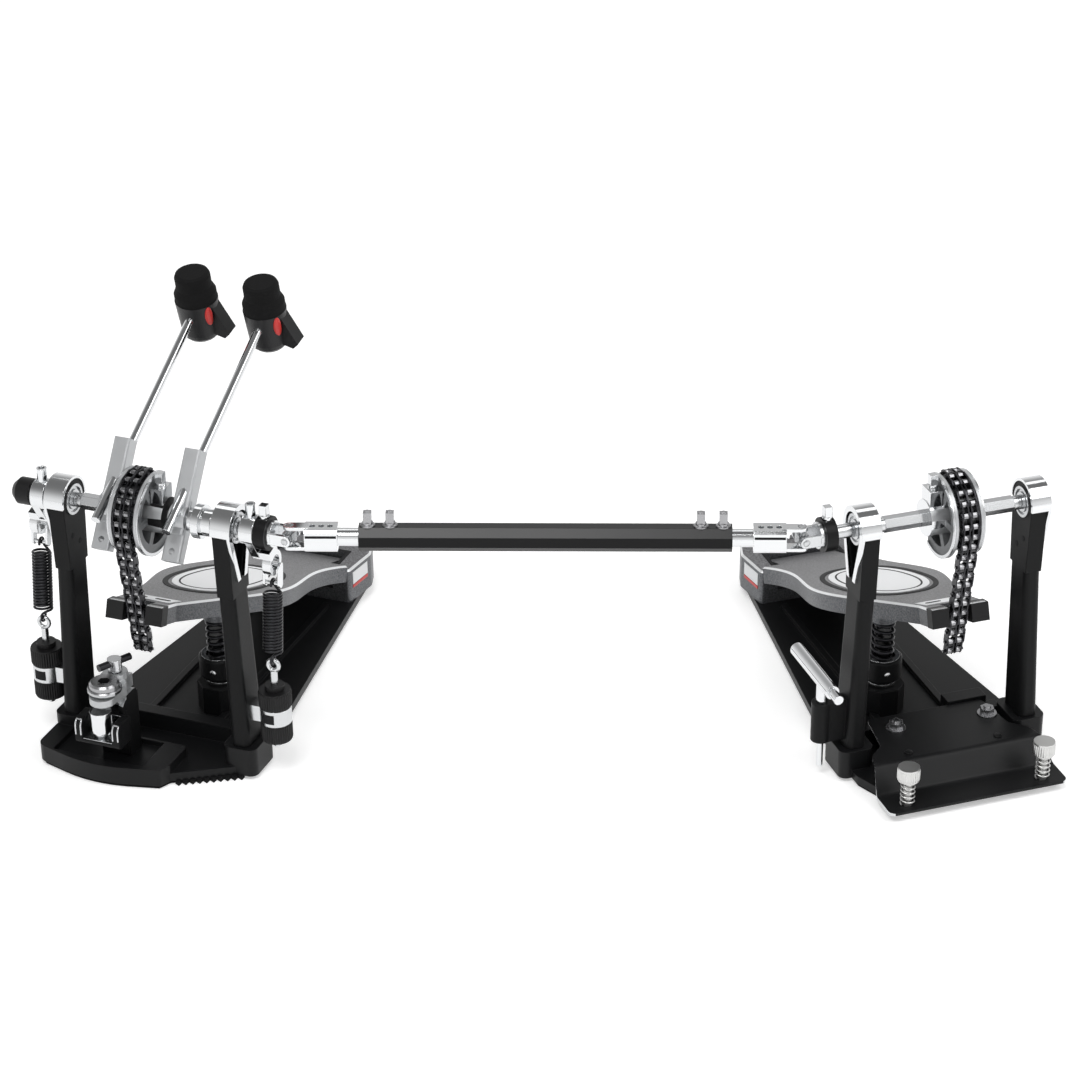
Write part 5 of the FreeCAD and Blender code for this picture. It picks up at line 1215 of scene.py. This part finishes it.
def make_floor():
    """Pale floor that takes shadows, and glows to the camera and in mirrors."""
    bm = bmesh.new()
    bmesh.ops.create_grid(bm, x_segments=1, y_segments=1, size=FLOOR_SIZE)
    mesh = bpy.data.meshes.new("floor")
    bm.to_mesh(mesh)
    bm.free()
    floor = bpy.data.objects.new("floor", mesh)
    bpy.context.scene.collection.objects.link(floor)
    mat, tree, shader = new_material("pale_floor")
    seen = tree.nodes.new("ShaderNodeLightPath")
    rays = operate(tree, MATH, "MAXIMUM", seen.outputs["Is Camera Ray"], mirror_ray(tree, seen)).outputs[0]
    away = operate(tree, VECTOR_MATH, "LENGTH", object_point(tree)).outputs["Value"]
    glow = node(tree, "ShaderNodeMapRange", Value=away, **FLOOR_GLOW).outputs["Result"]
    level = operate(tree, MATH, "MULTIPLY", rays, glow).outputs[0]
    feed_named(tree, shader, Base_Color=FLOOR_COLOUR, Roughness=FLOOR_ROUGH, Emission_Color=WHITE,
               Emission_Strength=level)
    mesh.materials.append(mat)


def make_world():
    """White behind the part; mirrors see a ceiling that darkens upwards, and the rest a plain light."""
    world = bpy.data.worlds.new("studio")
    bpy.context.scene.world = world
    world.use_nodes = True
    tree = world.node_tree
    seen = tree.nodes.new("ShaderNodeLightPath")
    where = tree.nodes.new("ShaderNodeTexCoord")
    height = node(tree, "ShaderNodeSeparateXYZ", Vector=where.outputs["Generated"]).outputs["Z"]
    ceiling = node(tree, "ShaderNodeMapRange", Value=height, **CEILING)
    ceiling.interpolation_type = "SMOOTHSTEP"
    level = blend_value(tree, mirror_ray(tree, seen), AMBIENT, ceiling.outputs["Result"])
    level = blend_value(tree, seen.outputs["Is Camera Ray"], level, 1.0)
    feed_named(tree, tree.nodes["Background"], Color=WHITE, Strength=level)


def blend_value(tree, factor, first, second):
    """Socket that is first where factor is 0 and second where it is 1; each is a socket or a number."""
    return node(tree, "ShaderNodeMix", Factor=factor, A=first, B=second).outputs["Result"]


def area_light(name, at, target, size, power):
    """Rectangular light that faces a target."""
    data = bpy.data.lights.new(name, "AREA")
    data.shape = "RECTANGLE"
    data.size, data.size_y = size
    data.energy = power
    light = bpy.data.objects.new(name, data)
    light.location = at
    light.rotation_euler = (Vector(target) - Vector(at)).to_track_quat("-Z", "Y").to_euler()
    bpy.context.scene.collection.objects.link(light)


def make_camera():
    """Camera that was fitted to the photograph."""
    data = bpy.data.cameras.new("camera")
    data.lens = LENS_MM
    data.sensor_width = SENSOR_MM
    data.shift_x = SHIFT_X
    data.shift_y = SHIFT_Y
    camera = bpy.data.objects.new("camera", data)
    camera.location = CAMERA_AT
    camera.rotation_euler = (math.radians(90 - CAMERA_DOWN), 0, CAMERA_YAW)
    bpy.context.scene.collection.objects.link(camera)
    bpy.context.scene.camera = camera


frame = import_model()
bpy.context.scene.view_settings.view_transform = "Standard"
make_camera()
make_world()
make_floor()
for values in LIGHTS:
    area_light(*values)
paint_nodes(frame["nodes"])
for placing, pedal in ((MAIN, "main"), (SLAVE, "slave")):
    dress_board(placing, pedal)
    dress_coil(placing, pedal)
    dress_heel(placing, pedal)
    dress_hinge(placing, pedal)
    dress_post(placing, pedal)
    dress_cup(placing, pedal)
    dress_cam(placing, pedal)
dress_spring("outer", -SPRING_X)
dress_spring("inner", SPRING_X)
dress_knobs("outer", -SPRING_X)
dress_knobs("inner", SPRING_X)
dress_heads()
dress_jaw()
dress_clamp()
dress_front_plate()
dress_rod_bolts()
dress_yoke("rod_main_yoke", "rod", False)
dress_yoke("rod_slave_yoke", "rod_slave_end", True)
dress_joint(MAIN, "main")
dress_joint(SLAVE, "slave")
